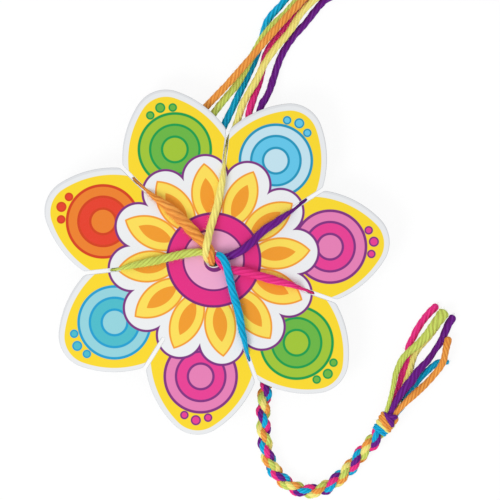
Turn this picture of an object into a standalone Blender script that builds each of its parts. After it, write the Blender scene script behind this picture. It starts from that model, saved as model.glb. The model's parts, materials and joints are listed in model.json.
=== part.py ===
"""Flower-shaped braiding disc with a friendship bracelet half made on it.

A stiff card board in the shape of a seven-petal flower has a round hole in
its middle and a slit in each valley between two petals. Six cotton yarns
cross its printed front from the hole to six of the slits, pass through them
and leave together behind the board, each wound into a small coil at its far
end. The finished round braid comes down out of the hole, lies on the table
in the shape of a J and ends in a knot and a tassel.

The board lies flat. The origin is in the middle of the board's thickness, on
the axis of the hole, with +Z out of the printed front.
"""

import math

import bmesh
import bpy
from mathutils import Quaternion, Vector

MM = 0.001

# The board, in millimetres
PETALS = 7
FLOWER_RADIUS = 55.0
VALLEY_RADIUS = 39.8
PETAL_TIP_RADIUS = 10.3
PETAL_SIDE_RADIUS = 31.0
FIRST_PETAL_ANGLE = 6.5
THICKNESS = 2.0
FACE_SHEET = 0.3
GLUE_LINE = 0.05
HOLE_CLEARANCE = 0.4
SLIT_WIDTH = 1.1
SLIT_INNER_RADIUS = 29.0
MOUTH_WIDTH = 2.6
MOUTH_DEPTH = 1.2

# The yarn and the braid, in millimetres
YARN = 2.4
BRAID = 4.2
PINCHED_LENGTH = 3.4
NECK = 2.0
LEVEL_UNTIL = 5.0
SINKING = 3.0
DIPPING = 1.5
ENTERING = 0.4
STRAND_REACH = 2.7
CROWN_RISE = 2.3
GRIPPED = 1.7
SWELLING = 6.0
GAP = 0.3

# The knot, in millimetres
KNOT_LENGTH = 5.6
KNOT_WIDTH = 7.1
KNOT_FLATNESS = 0.85
KNOT_WRAPS = 3

# The coils that the yarns' unused lengths are wound into, in millimetres
COIL_ACROSS = 25.0
COIL_TURNS = 3
COIL_STEP_GAP = 0.5
POINTS_PER_TURN = 24

# How finely the round pieces are faceted
YARN_SIDES = 8
COIL_SIDES = 6
BRAID_SIDES = 10
KNOT_SIDES = 14
YARN_STEP = 6.0
BRAID_STEP = 3.6
STRAND_STEP = 1.7

# The hole lets the braid through, and the yarns' inner ends stand round the
# braid's head side by side
HOLE_DIAMETER = BRAID + 2 * HOLE_CLEARANCE
STRAND_END = 2 * (BRAID / 2 + GAP) * math.sin(math.pi / PETALS) - GAP

# Heights that follow from the stack: braid on the table, yarn over the
# braid, board over the yarn
FRONT = THICKNESS / 2
BACK = -THICKNESS / 2


def laid_height(diameter, sides):
    """How high the middle of a faceted cord is, lying on one of its flats."""
    return diameter / 2 * math.cos(math.pi / sides)


BRAID_LAID = laid_height(BRAID, BRAID_SIDES)
BOARD_LIFT = 2 * BRAID_LAID + GAP + YARN + GAP
TABLE = BACK - BOARD_LIFT
LAID = laid_height(YARN, YARN_SIDES)
OVER_ONE = LAID + YARN + 0.35
OVER_TWO = OVER_ONE + YARN + 0.35
BEHIND = BOARD_LIFT - GAP - YARN / 2

COLOURS = {
    "board": (236, 236, 238),
    "printed_face": (253, 221, 60),
    "orange": (245, 150, 50),
    "lime": (180, 212, 70),
    "blue": (0, 172, 214),
    "yellow": (246, 226, 96),
    "pink": (232, 40, 132),
    "purple": (94, 24, 132),
    "braid": (214, 96, 120),
    "knot": (226, 150, 70),
}

# Which slit each yarn goes through, counted from the first petal, and how
# far out along it the yarn is caught, from 0 at its end to 1 at its mouth
SLITS = {
    "purple": (0, 0.31),
    "yellow": (1, 0.44),
    "orange": (2, 0.49),
    "lime": (3, 0.03),
    "blue": (5, 0.26),
    "pink": (6, 0.15),
}

# How far each yarn bows off the straight line to its slit, a quarter, half
# and three quarters of the way out, as a share of the slit point's radius.
# Anticlockwise is positive. By hand.
BOWS = {
    "purple": (-0.054, -0.039, -0.015),
    "yellow": (0.038, 0.009, -0.006),
    "orange": (-0.032, -0.035, -0.015),
    "lime": (-0.096, -0.091, -0.050),
    "blue": (0.085, 0.052, 0.024),
    "pink": (-0.028, -0.006, 0.003),
}

# Each yarn's way from behind its slit to its coil: x, y and the height of
# its middle over the table. The list is chosen by hand.
TAIL_ROUTES = {
    "orange": [
        (-13.5, 35.5, BEHIND),
        (-2.5, 47.1, BEHIND + 0.1),
        (4.3, 54.2, 6.4),
        (9.8, 60.4, OVER_TWO),
        (15.1, 66.6, OVER_TWO),
        (20.0, 72.2, 6.3),
        (26.9, 79.7, 5.9),
        (33.2, 86.8, 3.6),
        (39.2, 96.0, LAID),
        (43.6, 107.0, LAID),
        (45.8, 118.0, LAID),
    ],
    "lime": [
        (-15.5, 20.7, BEHIND),
        (-0.2, 44.9, BEHIND),
        (3.9, 50.2, 4.8),
        (7.6, 54.8, OVER_ONE),
        (12.0, 63.8, OVER_ONE),
        (15.1, 70.1, OVER_ONE),
        (19.1, 74.7, OVER_ONE),
        (24.4, 79.7, OVER_ONE),
        (30.2, 87.6, 1.9),
        (35.2, 97.0, LAID),
        (39.0, 108.0, LAID),
        (40.8, 120.0, LAID),
    ],
    "blue": [
        (9.2, -13.0, BEHIND),
        (7.8, 0.0, BEHIND),
        (5.4, 14.0, BEHIND),
        (1.4, 27.0, BEHIND),
        (0.7, 35.0, BEHIND),
        (3.2, 41.2, 5.1),
        (6.4, 48.0, 3.0),
        (9.5, 54.8, LAID),
        (12.3, 60.7, LAID),
        (15.0, 68.5, LAID),
        (16.9, 74.4, LAID),
        (21.9, 80.3, LAID),
        (26.2, 87.2, LAID),
        (28.3, 94.0, LAID),
    ],
    "yellow": [
        (7.0, 41.5, BEHIND),
        (9.2, 48.3, 4.9),
        (13.2, 56.1, OVER_ONE),
        (15.7, 60.4, OVER_ONE),
        (19.1, 65.4, OVER_ONE),
        (23.8, 71.0, OVER_ONE),
        (26.9, 76.0, OVER_ONE),
        (30.9, 80.3, OVER_ONE),
        (37.2, 84.8, 3.0),
        (45.0, 88.7, LAID),
        (54.0, 90.7, LAID),
        (63.0, 91.1, LAID),
        (73.4, 93.6, LAID),
        (80.8, 102.6, LAID),
        (82.4, 115.0, LAID),
    ],
    "pink": [
        (20.7, 16.8, BEHIND),
        (11.0, 44.0, BEHIND),
        (12.6, 48.9, 3.7),
        (14.4, 54.8, LAID),
        (15.8, 59.0, LAID),
        (16.5, 63.5, LAID),
        (18.7, 67.6, LAID),
        (23.0, 72.7, LAID),
        (28.4, 80.3, LAID),
        (37.2, 87.8, LAID),
        (44.0, 96.2, LAID),
        (48.4, 106.5, LAID),
    ],
    "purple": [
        (21.0, 32.0, BEHIND),
        (14.4, 45.5, BEHIND),
        (17.2, 51.8, 3.2),
        (19.3, 58.3, LAID),
        (21.2, 63.5, LAID),
        (24.7, 69.1, LAID),
        (28.7, 73.5, LAID),
        (32.2, 77.2, LAID),
        (35.6, 80.3, LAID),
        (44.0, 84.4, LAID),
        (55.0, 86.7, LAID),
        (68.0, 86.9, LAID),
        (82.0, 84.0, LAID),
    ],
}

# Each coil's middle, the angle where the yarn comes onto it, and whether it
# winds anticlockwise (1) or clockwise (-1)
COILS = {
    "orange": ((61.3, 143.0), 180.0, -1),
    "lime": ((26.5, 137.0), 0.0, 1),
    "blue": ((14.0, 103.5), 0.0, 1),
    "yellow": ((97.6, 131.5), 180.0, -1),
    "pink": ((64.5, 109.0), 150.0, -1),
    "purple": ((100.0, 97.5), -90.0, 1),
}

# The braid's way on the table from below the hole to the knot, by hand
BRAID_ROUTE = [
    (8.2, -9.8),
    (13.0, -17.2),
    (16.0, -25.0),
    (17.2, -33.1),
    (16.6, -39.0),
    (15.7, -44.3),
    (15.5, -50.6),
    (16.0, -57.6),
    (18.0, -64.6),
    (21.9, -69.4),
    (25.9, -71.9),
    (30.3, -72.7),
    (34.6, -71.7),
    (38.6, -69.1),
    (43.0, -64.9),
    (46.8, -60.2),
]
KNOT_MIDDLE = (53.3, -51.7)
KNOT_ANGLE = 55.8

# Each tassel end: its column from the left and its row from the bottom where
# it leaves the knot, and its way
TASSEL = {
    "orange": (
        1,
        1,
        [
            (60.8, -45.4, OVER_ONE),
            (63.9, -42.6, 3.5),
            (67.1, -39.5, 1.8),
            (70.5, -35.6, 3.2),
            (72.0, -31.2, OVER_ONE),
            (73.6, -25.0, 2.8),
        ],
    ),
    "purple": (
        0,
        1,
        [
            (58.7, -43.8, OVER_ONE),
            (62.4, -36.9, OVER_ONE),
            (66.7, -31.4, 2.2),
            (69.8, -26.6, LAID),
            (71.9, -22.0, LAID),
            (74.2, -18.2, LAID),
        ],
    ),
    "lime": (
        -1,
        1,
        [
            (56.4, -42.3, OVER_ONE),
            (57.0, -36.0, OVER_ONE),
            (58.6, -30.9, OVER_ONE),
            (62.3, -27.0, OVER_ONE),
            (66.6, -22.6, OVER_ONE),
            (70.6, -17.0, 3.2),
        ],
    ),
    "pink": (
        -1,
        0,
        [
            (56.5, -42.3, LAID),
            (58.4, -35.3, LAID),
            (60.2, -28.1, LAID),
            (62.7, -21.6, LAID),
            (65.7, -17.6, LAID),
            (68.8, -14.8, LAID),
        ],
    ),
    "yellow": (
        0,
        0,
        [
            (58.7, -43.6, LAID),
            (61.3, -36.6, LAID),
            (63.6, -30.6, LAID),
            (66.8, -25.6, LAID),
            (69.6, -20.8, LAID),
        ],
    ),
    "blue": (
        1,
        0,
        [
            (61.0, -45.1, LAID),
            (64.0, -38.4, LAID),
            (67.4, -34.6, LAID),
            (70.8, -32.5, LAID),
        ],
    ),
}


def linear(channel):
    """One sRGB channel, 0 to 255, as linear light."""
    c = channel / 255
    return c / 12.92 if c <= 0.04045 else ((c + 0.055) / 1.055) ** 2.4


def material(name, colour, roughness):
    """A plain material in the piece's colour."""
    made = bpy.data.materials.new(name)
    made.use_nodes = True
    shader = made.node_tree.nodes["Principled BSDF"]
    shader.inputs["Base Color"].default_value = (*map(linear, colour), 1.0)
    shader.inputs["Roughness"].default_value = roughness
    shader.inputs["Metallic"].default_value = 0.0
    return made


def add_object(name, data, colour, roughness=0.9):
    """Link new data to the scene as one named piece with its own material."""
    piece = bpy.data.objects.new(name, data)
    bpy.context.collection.objects.link(piece)
    data.materials.append(material(name, COLOURS[colour], roughness))
    return piece


def mesh_from(bm, name, smooth=True):
    """Turn a finished bmesh into a mesh with its faces pointing out."""
    bmesh.ops.recalc_face_normals(bm, faces=bm.faces)
    mesh = bpy.data.meshes.new(name)
    bm.to_mesh(mesh)
    bm.free()
    if smooth:
        mesh.shade_smooth()
        mesh.set_sharp_from_angle(angle=math.radians(50))
    return mesh


def polar(radius, degrees, height=0.0):
    """A point at a radius and an angle round the hole's axis."""
    angle = math.radians(degrees)
    return Vector((radius * math.cos(angle), radius * math.sin(angle), height))


def smooth_curve(points, step):
    """Even points, about a step apart, on a smooth curve through the points.

    The curve is a centripetal Catmull-Rom curve, which neither loops nor
    swings past points that lie close together.
    """
    first = points[0] * 2 - points[1]
    last = points[-1] * 2 - points[-2]
    chain = [first, *points, last]
    fine = []
    pieces = 16
    for p0, p1, p2, p3 in zip(chain, chain[1:], chain[2:], chain[3:]):
        t1 = (p1 - p0).length ** 0.5
        t2 = t1 + (p2 - p1).length ** 0.5
        t3 = t2 + (p3 - p2).length ** 0.5
        for k in range(pieces):
            t = t1 + (t2 - t1) * k / pieces
            a1 = p0.lerp(p1, t / t1)
            a2 = p1.lerp(p2, (t - t1) / (t2 - t1))
            a3 = p2.lerp(p3, (t - t2) / (t3 - t2))
            b1 = a1.lerp(a2, t / t2)
            b2 = a2.lerp(a3, (t - t1) / (t3 - t1))
            fine.append(b1.lerp(b2, (t - t1) / (t2 - t1)))
    fine.append(points[-1].copy())
    return evenly(fine, step)


def evenly(fine, step):
    """Read a fine polyline off at even distances, about a step apart."""
    lengths = [(b - a).length for a, b in zip(fine, fine[1:])]
    total = sum(lengths)
    count = max(2, math.ceil(total / step))
    marks = [total * k / count for k in range(1, count)]
    even = [fine[0]]
    run = 0.0
    for a, b, length in zip(fine, fine[1:], lengths):
        while marks and run + length >= marks[0]:
            even.append(a.lerp(b, (marks.pop(0) - run) / length))
        run += length
    even.append(fine[-1])
    return even


def path_length(points):
    """The length of a line through the points."""
    return sum((b - a).length for a, b in zip(points, points[1:]))


def on_table(x, y, height):
    """A route point, given its height over the table."""
    return Vector((x, y, TABLE + height))


def cord(name, points, diameter, sides, colour, radii=None):
    """A cord as a beveled curve that lies on one of its flats."""
    data = bpy.data.curves.new(name, "CURVE")
    data.dimensions = "3D"
    data.twist_mode = "Z_UP"
    data.bevel_depth = diameter / 2 * MM
    data.bevel_resolution = sides // 2 - 2
    data.use_fill_caps = True
    spline = data.splines.new("POLY")
    spline.points.add(len(points) - 1)
    for k, (target, point) in enumerate(zip(spline.points, points)):
        target.co = (*(point * MM), 1.0)
        target.tilt = math.pi / sides
        target.radius = radii[k] if radii else 1.0
    return add_object(name, data, colour)


def loft(name, rings, colour):
    """A closed skin over rings of points, with a flat cap on each end."""
    bm = bmesh.new()
    loops = [[bm.verts.new(point * MM) for point in ring] for ring in rings]
    for near, far in zip(loops, loops[1:]):
        for k in range(len(near)):
            j = (k + 1) % len(near)
            bm.faces.new((near[k], near[j], far[j], far[k]))
    bm.faces.new(loops[0][::-1])
    bm.faces.new(loops[-1])
    return add_object(name, mesh_from(bm, name), colour)


def carried_frames(points, side):
    """The direction and sideways vector at each point, carried without twist."""
    frames = []
    side = side.normalized()
    before = None
    for k, point in enumerate(points):
        ahead = points[min(k + 1, len(points) - 1)]
        behind = points[max(k - 1, 0)]
        along = (ahead - behind).normalized()
        if before is not None:
            side = before.rotation_difference(along) @ side
        side = (side - along * side.dot(along)).normalized()
        frames.append((along, side))
        before = along
    return frames


def section(middle, along, side, half_width, half_height, sides):
    """An ellipse square to the path, standing on a flat when it lies down."""
    up = side.cross(along)
    ring = []
    for k in range(sides):
        angle = 2 * math.pi * (k + 0.5) / sides + math.pi / 2
        ring.append(
            middle
            + side * half_width * math.cos(angle)
            + up * half_height * math.sin(angle)
        )
    return ring


# The board and its printed face


def petal_outline(petal_angle):
    """One petal: a round tip between two gently curved sides.

    The side's arc passes through the valley point and meets the tip's arc
    tangentially, which fixes the angle where they join.
    """
    half_pitch = 180 / PETALS
    tip_middle = Vector((FLOWER_RADIUS - PETAL_TIP_RADIUS, 0.0, 0.0))
    valley = polar(VALLEY_RADIUS, half_pitch)
    reach = valley - tip_middle
    offset = PETAL_SIDE_RADIUS - PETAL_TIP_RADIUS
    cosine = (PETAL_SIDE_RADIUS**2 - offset**2 - reach.length_squared) / (
        2 * offset * reach.length
    )
    join = math.atan2(reach.y, reach.x) - math.acos(cosine)
    side_middle = tip_middle - offset * Vector((math.cos(join), math.sin(join), 0.0))
    to_valley = valley - side_middle
    valley_turn = math.atan2(to_valley.y, to_valley.x)

    side_steps, tip_steps = 6, 4
    half = []
    for k in range(tip_steps + 1):
        angle = join * k / tip_steps
        half.append(
            tip_middle
            + PETAL_TIP_RADIUS * Vector((math.cos(angle), math.sin(angle), 0.0))
        )
    for k in range(1, side_steps + 1):
        angle = join + (valley_turn - join) * k / side_steps
        half.append(
            side_middle
            + PETAL_SIDE_RADIUS * Vector((math.cos(angle), math.sin(angle), 0.0))
        )
    other = [Vector((p.x, -p.y, 0.0)) for p in half[1:-1]]
    turn = Quaternion((0, 0, 1), math.radians(petal_angle))
    return [turn @ p for p in other[::-1] + half]


def slit_angle(slit):
    """The angle of a slit, which lies midway between two petals."""
    return FIRST_PETAL_ANGLE + (slit + 0.5) * 360 / PETALS


def slit_outline(slit):
    """A slit's cut: round inner end, straight sides and a flared mouth."""
    half = SLIT_WIDTH / 2
    inner = SLIT_INNER_RADIUS + half
    profile = []
    end_steps = 4
    for k in range(end_steps + 1):
        angle = math.pi / 2 + math.pi * k / end_steps
        profile.append((inner + half * math.cos(angle), half * math.sin(angle)))
    profile.append((VALLEY_RADIUS - MOUTH_DEPTH, -half))
    profile.append((VALLEY_RADIUS, -MOUTH_WIDTH / 2))
    profile.append((VALLEY_RADIUS + 3 * MOUTH_DEPTH, -MOUTH_WIDTH / 2))
    profile.append((VALLEY_RADIUS + 3 * MOUTH_DEPTH, MOUTH_WIDTH / 2))
    profile.append((VALLEY_RADIUS, MOUTH_WIDTH / 2))
    profile.append((VALLEY_RADIUS - MOUTH_DEPTH, half))
    turn = Quaternion((0, 0, 1), math.radians(slit_angle(slit)))
    return [turn @ Vector((x, y, 0.0)) for x, y in profile]


def prism(bm, outline, low, high):
    """Add a flat outline, raised into a solid between two heights."""
    floor = [bm.verts.new(Vector((p.x, p.y, low)) * MM) for p in outline]
    base = bm.faces.new(floor)
    raised = bmesh.ops.extrude_face_region(bm, geom=[base])
    moved = [v for v in raised["geom"] if isinstance(v, bmesh.types.BMVert)]
    bmesh.ops.translate(bm, vec=(0, 0, (high - low) * MM), verts=moved)


def disc_cutter():
    """The seven slits and the middle hole, as one cutter for both layers."""
    bm = bmesh.new()
    for slit in range(PETALS):
        prism(bm, slit_outline(slit), BACK - THICKNESS, FRONT + THICKNESS)
    hole_steps = 28
    hole = [polar(HOLE_DIAMETER / 2, 360 * k / hole_steps) for k in range(hole_steps)]
    prism(bm, hole, BACK - THICKNESS, FRONT + THICKNESS)
    cutter = bpy.data.objects.new("disc_cutter", mesh_from(bm, "disc_cutter", False))
    bpy.context.collection.objects.link(cutter)
    cutter.hide_render = True
    cutter.display_type = "WIRE"
    return cutter


def disc_layer(name, low, high, cutter, colour, roughness):
    """One layer of the disc, with the slits and the hole cut through it."""
    outline = []
    for petal in range(PETALS):
        outline += petal_outline(FIRST_PETAL_ANGLE + petal * 360 / PETALS)
    bm = bmesh.new()
    prism(bm, outline, low, high)
    layer = add_object(name, mesh_from(bm, name, False), colour, roughness)
    cut = layer.modifiers.new("slits_and_hole", "BOOLEAN")
    cut.operation = "DIFFERENCE"
    cut.solver = "EXACT"
    cut.object = cutter
    return layer


# The yarns on the front, through the slits and behind the board


def slit_point(colour):
    """Where a yarn goes down through its slit."""
    slit, share = SLITS[colour]
    margin = PINCHED_LENGTH / 2 + GAP
    room = VALLEY_RADIUS - SLIT_INNER_RADIUS - 2 * margin
    return polar(SLIT_INNER_RADIUS + margin + share * room, slit_angle(slit))


def tail_heading(colour):
    """The level direction in which a yarn leaves its slit behind the board."""
    x, y, _ = TAIL_ROUTES[colour][0]
    heading = Vector((x, y, 0.0)) - slit_point(colour)
    return heading.normalized()


def strand(colour):
    """A yarn from the middle, over the front and down through its slit.

    It is round on the front, where it bows a little to one side, is pinched
    into a thin blade by the slit, and swells again behind the board, where
    the tail takes over.
    """
    down = slit_point(colour)
    radius = down.length
    outward = down.normalized()
    across = Vector((-outward.y, outward.x, 0.0))
    away = tail_heading(colour)
    full = YARN / 2
    end = STRAND_END / 2
    blade = SLIT_WIDTH / 2 - GAP
    pinch = PINCHED_LENGTH / 2
    resting = FRONT + GAP + full
    behind = BACK - GAP - full

    bow_marks = [(BRAID / 2 + GAP, 0.0)]
    for k, share in enumerate(BOWS[colour]):
        bow_marks.append((radius * (k + 1) / 4, radius * share))
    bow_marks.append((radius - SINKING, 0.0))

    def sideways(reach):
        for (near, low), (far, high) in zip(bow_marks, bow_marks[1:]):
            if near <= reach <= far:
                return low + (high - low) * (reach - near) / (far - near)
        return 0.0

    def front(reach, height):
        bowed = across * sideways(reach)
        return outward * reach + bowed + Vector((0, 0, height))

    def back(shift, height):
        return down + away * shift + Vector((0, 0, height))

    stations = [
        (front(BRAID / 2 + GAP, FRONT + GAP + end), end, end),
        (front(BRAID / 2 + NECK, resting - 0.2), 0.85 * full, 0.85 * full),
        (front(radius / 4, resting), full, full),
        (front(radius / 2, resting), full, full),
        (front(radius * 3 / 4, resting), full, full),
        (front(radius - LEVEL_UNTIL, resting), full, full),
        (front(radius - SINKING, resting - 0.1), 0.8 * full, full),
        (front(radius - DIPPING, FRONT + 1.3), 0.45 * full, 0.9 * full),
        (front(radius - ENTERING, FRONT + 0.45), blade, 0.75 * pinch),
        (back(0.0, FRONT - 0.4), blade, pinch),
        (back(0.0, BACK - 0.05), blade, 0.95 * pinch),
        (back(0.15, BACK - 0.95), 0.4 * full, 0.75 * full),
        (back(0.95, behind), 0.8 * full, 0.8 * full),
        (back(STRAND_REACH, behind), full, full),
    ]
    middles = [middle for middle, _, _ in stations]
    path = smooth_curve(middles, STRAND_STEP)
    marks = [0.0]
    for a, b in zip(middles, middles[1:]):
        marks.append(marks[-1] + (b - a).length)
    total = path_length(path)
    rings = []
    run = 0.0
    for k, (middle, frame) in enumerate(zip(path, carried_frames(path, across))):
        if k:
            run += (middle - path[k - 1]).length
        mark = run / total * marks[-1]
        j = next((i for i in range(1, len(marks)) if marks[i] >= mark), len(marks) - 1)
        share = min(1.0, (mark - marks[j - 1]) / (marks[j] - marks[j - 1]))
        width = stations[j - 1][1] + (stations[j][1] - stations[j - 1][1]) * share
        height = stations[j - 1][2] + (stations[j][2] - stations[j - 1][2]) * share
        rings.append(section(middle, *frame, width, height, YARN_SIDES))
    return loft(f"strand_{colour}", rings, colour)


def coil_start(colour):
    """Where a coil's first turn begins, and the direction it begins in."""
    (x, y), angle, sense = COILS[colour]
    step = YARN + COIL_STEP_GAP
    radius = COIL_ACROSS / 2 + step * COIL_TURNS / 4
    start = Vector((x, y, 0.0)) + polar(radius, angle)
    return start, polar(1.0, angle + 90 * sense)


def tail(colour):
    """A yarn's free stretch, from behind its slit to its coil."""
    away = tail_heading(colour)
    down = slit_point(colour)
    start, direction = coil_start(colour)
    height = laid_height(YARN, COIL_SIDES)
    end = start - direction * (YARN + GAP)
    first = on_table(*(down + away * (STRAND_REACH + GAP)).xy, BEHIND)
    route = [first + away * YARN]
    route += [on_table(*point) for point in TAIL_ROUTES[colour]]
    route.append(on_table(*(end - direction * YARN).xy, height))
    points = smooth_curve(route, YARN_STEP)
    for point in points:
        if point.xy.length < (VALLEY_RADIUS + FLOWER_RADIUS) / 2:
            point.z = min(point.z, TABLE + BEHIND)
    points = [first, *points, on_table(*end.xy, height)]
    cord(f"tail_{colour}", points, YARN, YARN_SIDES, colour)
    return points


def coil_points(colour):
    """A yarn's coil: in along the table, up a layer, and out on top."""
    (x, y), angle, sense = COILS[colour]
    start, direction = coil_start(colour)
    step = YARN + COIL_STEP_GAP
    outer = COIL_ACROSS / 2 + step * COIL_TURNS / 4
    low = laid_height(YARN, COIL_SIDES)
    half = COIL_TURNS / 2
    points = [on_table(*(start - direction * YARN).xy, low)]
    for k in range(COIL_TURNS * POINTS_PER_TURN + 1):
        turn = k / POINTS_PER_TURN
        radius = outer - step * min(turn, COIL_TURNS - turn)
        climb = min(1.0, max(0.0, (turn - half + 0.25) / 0.5))
        rise = step * climb * climb * (3 - 2 * climb)
        place = Vector((x, y, 0.0)) + polar(radius, angle + 360 * turn * sense)
        points.append(on_table(*place.xy, low + rise))
    last = (points[-1] - points[-2]).normalized()
    points.append(points[-1] + last * YARN)
    return points


def least_gap(points, diameter):
    """The least gap of a wound tube to itself, from the points' distances."""
    skip = POINTS_PER_TURN // 2
    pairs = (
        (a - b).length
        for i, a in enumerate(points)
        for b in points[i + skip :]
    )
    return min(pairs) - diameter


# The braid, its knot and its tassel


def knot_frame():
    """The knot's middle, its direction and its left-hand side."""
    ahead = polar(1.0, KNOT_ANGLE)
    half_height = KNOT_WIDTH / 2 * KNOT_FLATNESS
    middle = on_table(*KNOT_MIDDLE, half_height * math.cos(math.pi / KNOT_SIDES))
    return middle, ahead, Vector((-ahead.y, ahead.x, 0.0))


def braid():
    """The finished braid: up through the hole, down and along the table."""
    crown = FRONT + CROWN_RISE
    heading = Vector((*BRAID_ROUTE[0], 0.0)).normalized()
    bend = BOARD_LIFT - BRAID_LAID
    knot, ahead, _ = knot_frame()
    end = knot - ahead * (KNOT_LENGTH / 2 + GAP)
    route = [Vector((0, 0, BACK)), Vector((0, 0, BACK - 0.3))]
    bend_steps = 4
    for k in range(1, bend_steps + 1):
        angle = math.pi / 2 * k / bend_steps
        drop = BACK - bend * math.sin(angle)
        route.append(heading * bend * (1 - math.cos(angle)) + Vector((0, 0, drop)))
    route += [on_table(x, y, BRAID_LAID) for x, y in BRAID_ROUTE]
    route.append(end - ahead * BRAID)
    route.append(end)
    laid = smooth_curve(route, BRAID_STEP)
    full = BRAID / 2
    stations = [
        (Vector((0, 0, crown)), 0.45 * full),
        (Vector((0, 0, crown - 0.25)), 0.8 * full),
        (Vector((0, 0, crown - 0.7)), full),
    ]
    stations += [(point, full) for point in laid]
    path = [point for point, _ in stations]
    side = heading.cross(Vector((0, 0, 1)))
    rings = [
        section(point, *frame, radius, radius, BRAID_SIDES)
        for (point, radius), frame in zip(stations, carried_frames(path, side))
    ]
    loft("braid", rings, "braid")
    return laid


def knot():
    """The overhand knot, as its wraps bulge round the braid's end."""
    middle, ahead, left = knot_frame()
    wide = KNOT_WIDTH / 2
    start, finish = 0.72 * wide, 0.84 * wide
    rings = []
    steps = 4 * KNOT_WRAPS
    for k in range(steps + 1):
        share = k / steps
        bulge = 0.86 + 0.14 * abs(math.sin(math.pi * KNOT_WRAPS * share))
        shoulder = min(1.0, share * 4, (1 - share) * 4)
        ends = start + (finish - start) * share
        radius = ends + (bulge * wide - ends) * shoulder
        place = middle + ahead * KNOT_LENGTH * (share - 0.5)
        rings.append(
            section(place, ahead, -left, radius, radius * KNOT_FLATNESS, KNOT_SIDES)
        )
    loft("knot", rings, "knot")


def tassel_end(colour):
    """One of the yarn ends behind the knot, thin where the knot grips it."""
    column, row, way = TASSEL[colour]
    middle, ahead, left = knot_frame()
    pitch = GRIPPED + GAP
    start = middle + ahead * (KNOT_LENGTH / 2 + GAP) - left * pitch * column
    start += Vector((0, 0, pitch * (row - 0.5)))
    route = [start + ahead * GRIPPED]
    route += [on_table(*point) for point in way]
    points = [start, *smooth_curve(route, YARN_STEP / 2)]
    thin = GRIPPED / YARN
    radii = []
    run = 0.0
    for k, point in enumerate(points):
        if k:
            run += (point - points[k - 1]).length
        radii.append(thin + (1 - thin) * min(1.0, run / SWELLING))
    cord(f"tassel_{colour}", points, YARN, YARN_SIDES, colour, radii)
    return points


def build():
    """Build every piece of the disc and of the bracelet on it."""
    for old in list(bpy.data.objects):
        bpy.data.objects.remove(old)
    cutter = disc_cutter()
    seam = FRONT - FACE_SHEET
    disc_layer("board", BACK, seam - GLUE_LINE, cutter, "board", 0.8)
    disc_layer("printed_face", seam, FRONT, cutter, "printed_face", 0.45)
    for colour in SLITS:
        strand(colour)
        free = tail(colour)
        wound = coil_points(colour)
        cord(f"coil_{colour}", wound, YARN, COIL_SIDES, colour)
        print(
            f"{colour}: tail {path_length(free):.0f} mm, "
            f"coil {path_length(wound):.0f} mm, "
            f"least gap in the coil {least_gap(wound, YARN):.2f} mm"
        )
    laid = braid()
    print(f"braid below the board {path_length(laid):.0f} mm")
    knot()
    for colour in TASSEL:
        tassel_end(colour)


build()
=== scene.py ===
# %% [markdown]
# # A flower-shaped braiding disc, dressed for its photograph
#
# The object is a stiff card disc with seven petals. Six soft cotton yarns run
# from slits between the petals to a hole in the middle, where they are braided
# into a round cord that hangs down behind the board. The packed CAD model
# fixes where every piece is. This script gives each piece the shape and finish
# that a camera sees: twisted yarn, printed card, a braid with real strands.

# %% Load the packed model
import json
import math

import bmesh
import bpy
import numpy as np
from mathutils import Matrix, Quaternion, Vector

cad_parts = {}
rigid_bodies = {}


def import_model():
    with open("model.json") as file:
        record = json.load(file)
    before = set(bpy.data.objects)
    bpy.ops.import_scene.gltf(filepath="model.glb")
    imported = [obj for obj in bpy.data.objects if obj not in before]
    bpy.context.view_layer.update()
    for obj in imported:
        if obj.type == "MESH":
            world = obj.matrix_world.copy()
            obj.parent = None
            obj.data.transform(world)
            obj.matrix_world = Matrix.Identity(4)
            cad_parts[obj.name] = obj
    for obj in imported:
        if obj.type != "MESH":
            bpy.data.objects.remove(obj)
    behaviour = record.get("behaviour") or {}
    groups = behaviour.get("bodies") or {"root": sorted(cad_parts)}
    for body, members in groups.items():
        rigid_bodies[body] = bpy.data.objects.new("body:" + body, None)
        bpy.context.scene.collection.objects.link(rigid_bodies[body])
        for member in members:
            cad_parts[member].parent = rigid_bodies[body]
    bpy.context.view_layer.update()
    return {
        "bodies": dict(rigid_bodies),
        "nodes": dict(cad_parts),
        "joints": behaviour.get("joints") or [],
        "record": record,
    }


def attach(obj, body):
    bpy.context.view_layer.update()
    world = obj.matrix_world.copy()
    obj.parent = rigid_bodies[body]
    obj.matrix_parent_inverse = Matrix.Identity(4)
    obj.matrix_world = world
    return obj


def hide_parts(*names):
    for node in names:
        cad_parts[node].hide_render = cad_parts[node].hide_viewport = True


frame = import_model()

# %% [markdown]
# The sizes below are the real ones, in millimetres. The board, the braid and
# the yarn are stacked on the table, so every height follows from how thick
# they are. The route points further down are the CAD model's own. A few are
# moved by less than a millimetre, because twisted yarns settle closer together
# than plain tubes do.

# %% Sizes of the disc, the yarn and the stack
MM = 0.001
PETALS = 7
FLOWER_RADIUS = 55.0
VALLEY_RADIUS = 39.8
PETAL_TIP_RADIUS = 10.3
PETAL_SIDE_RADIUS = 31.0
FIRST_PETAL_ANGLE = 6.5
HALF_PITCH = 180 / PETALS
SLIT_WIDTH = 1.1
SLIT_INNER_RADIUS = 29.0
CORNER_ROUNDING = 0.4
HOLE_RADIUS = 2.5
FRONT = 1.0
BACK = -1.0
SEAM = 0.7
YARN = 2.4
BRAID = 4.2
GAP = 0.3
CROSSING_ROOM = 0.35
UP = Vector((0, 0, 1))


def laid_height(diameter, sides):
    """How high the middle of a tube with flat sides is when it lies on one."""
    return diameter / 2 * math.cos(math.pi / sides)


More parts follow.
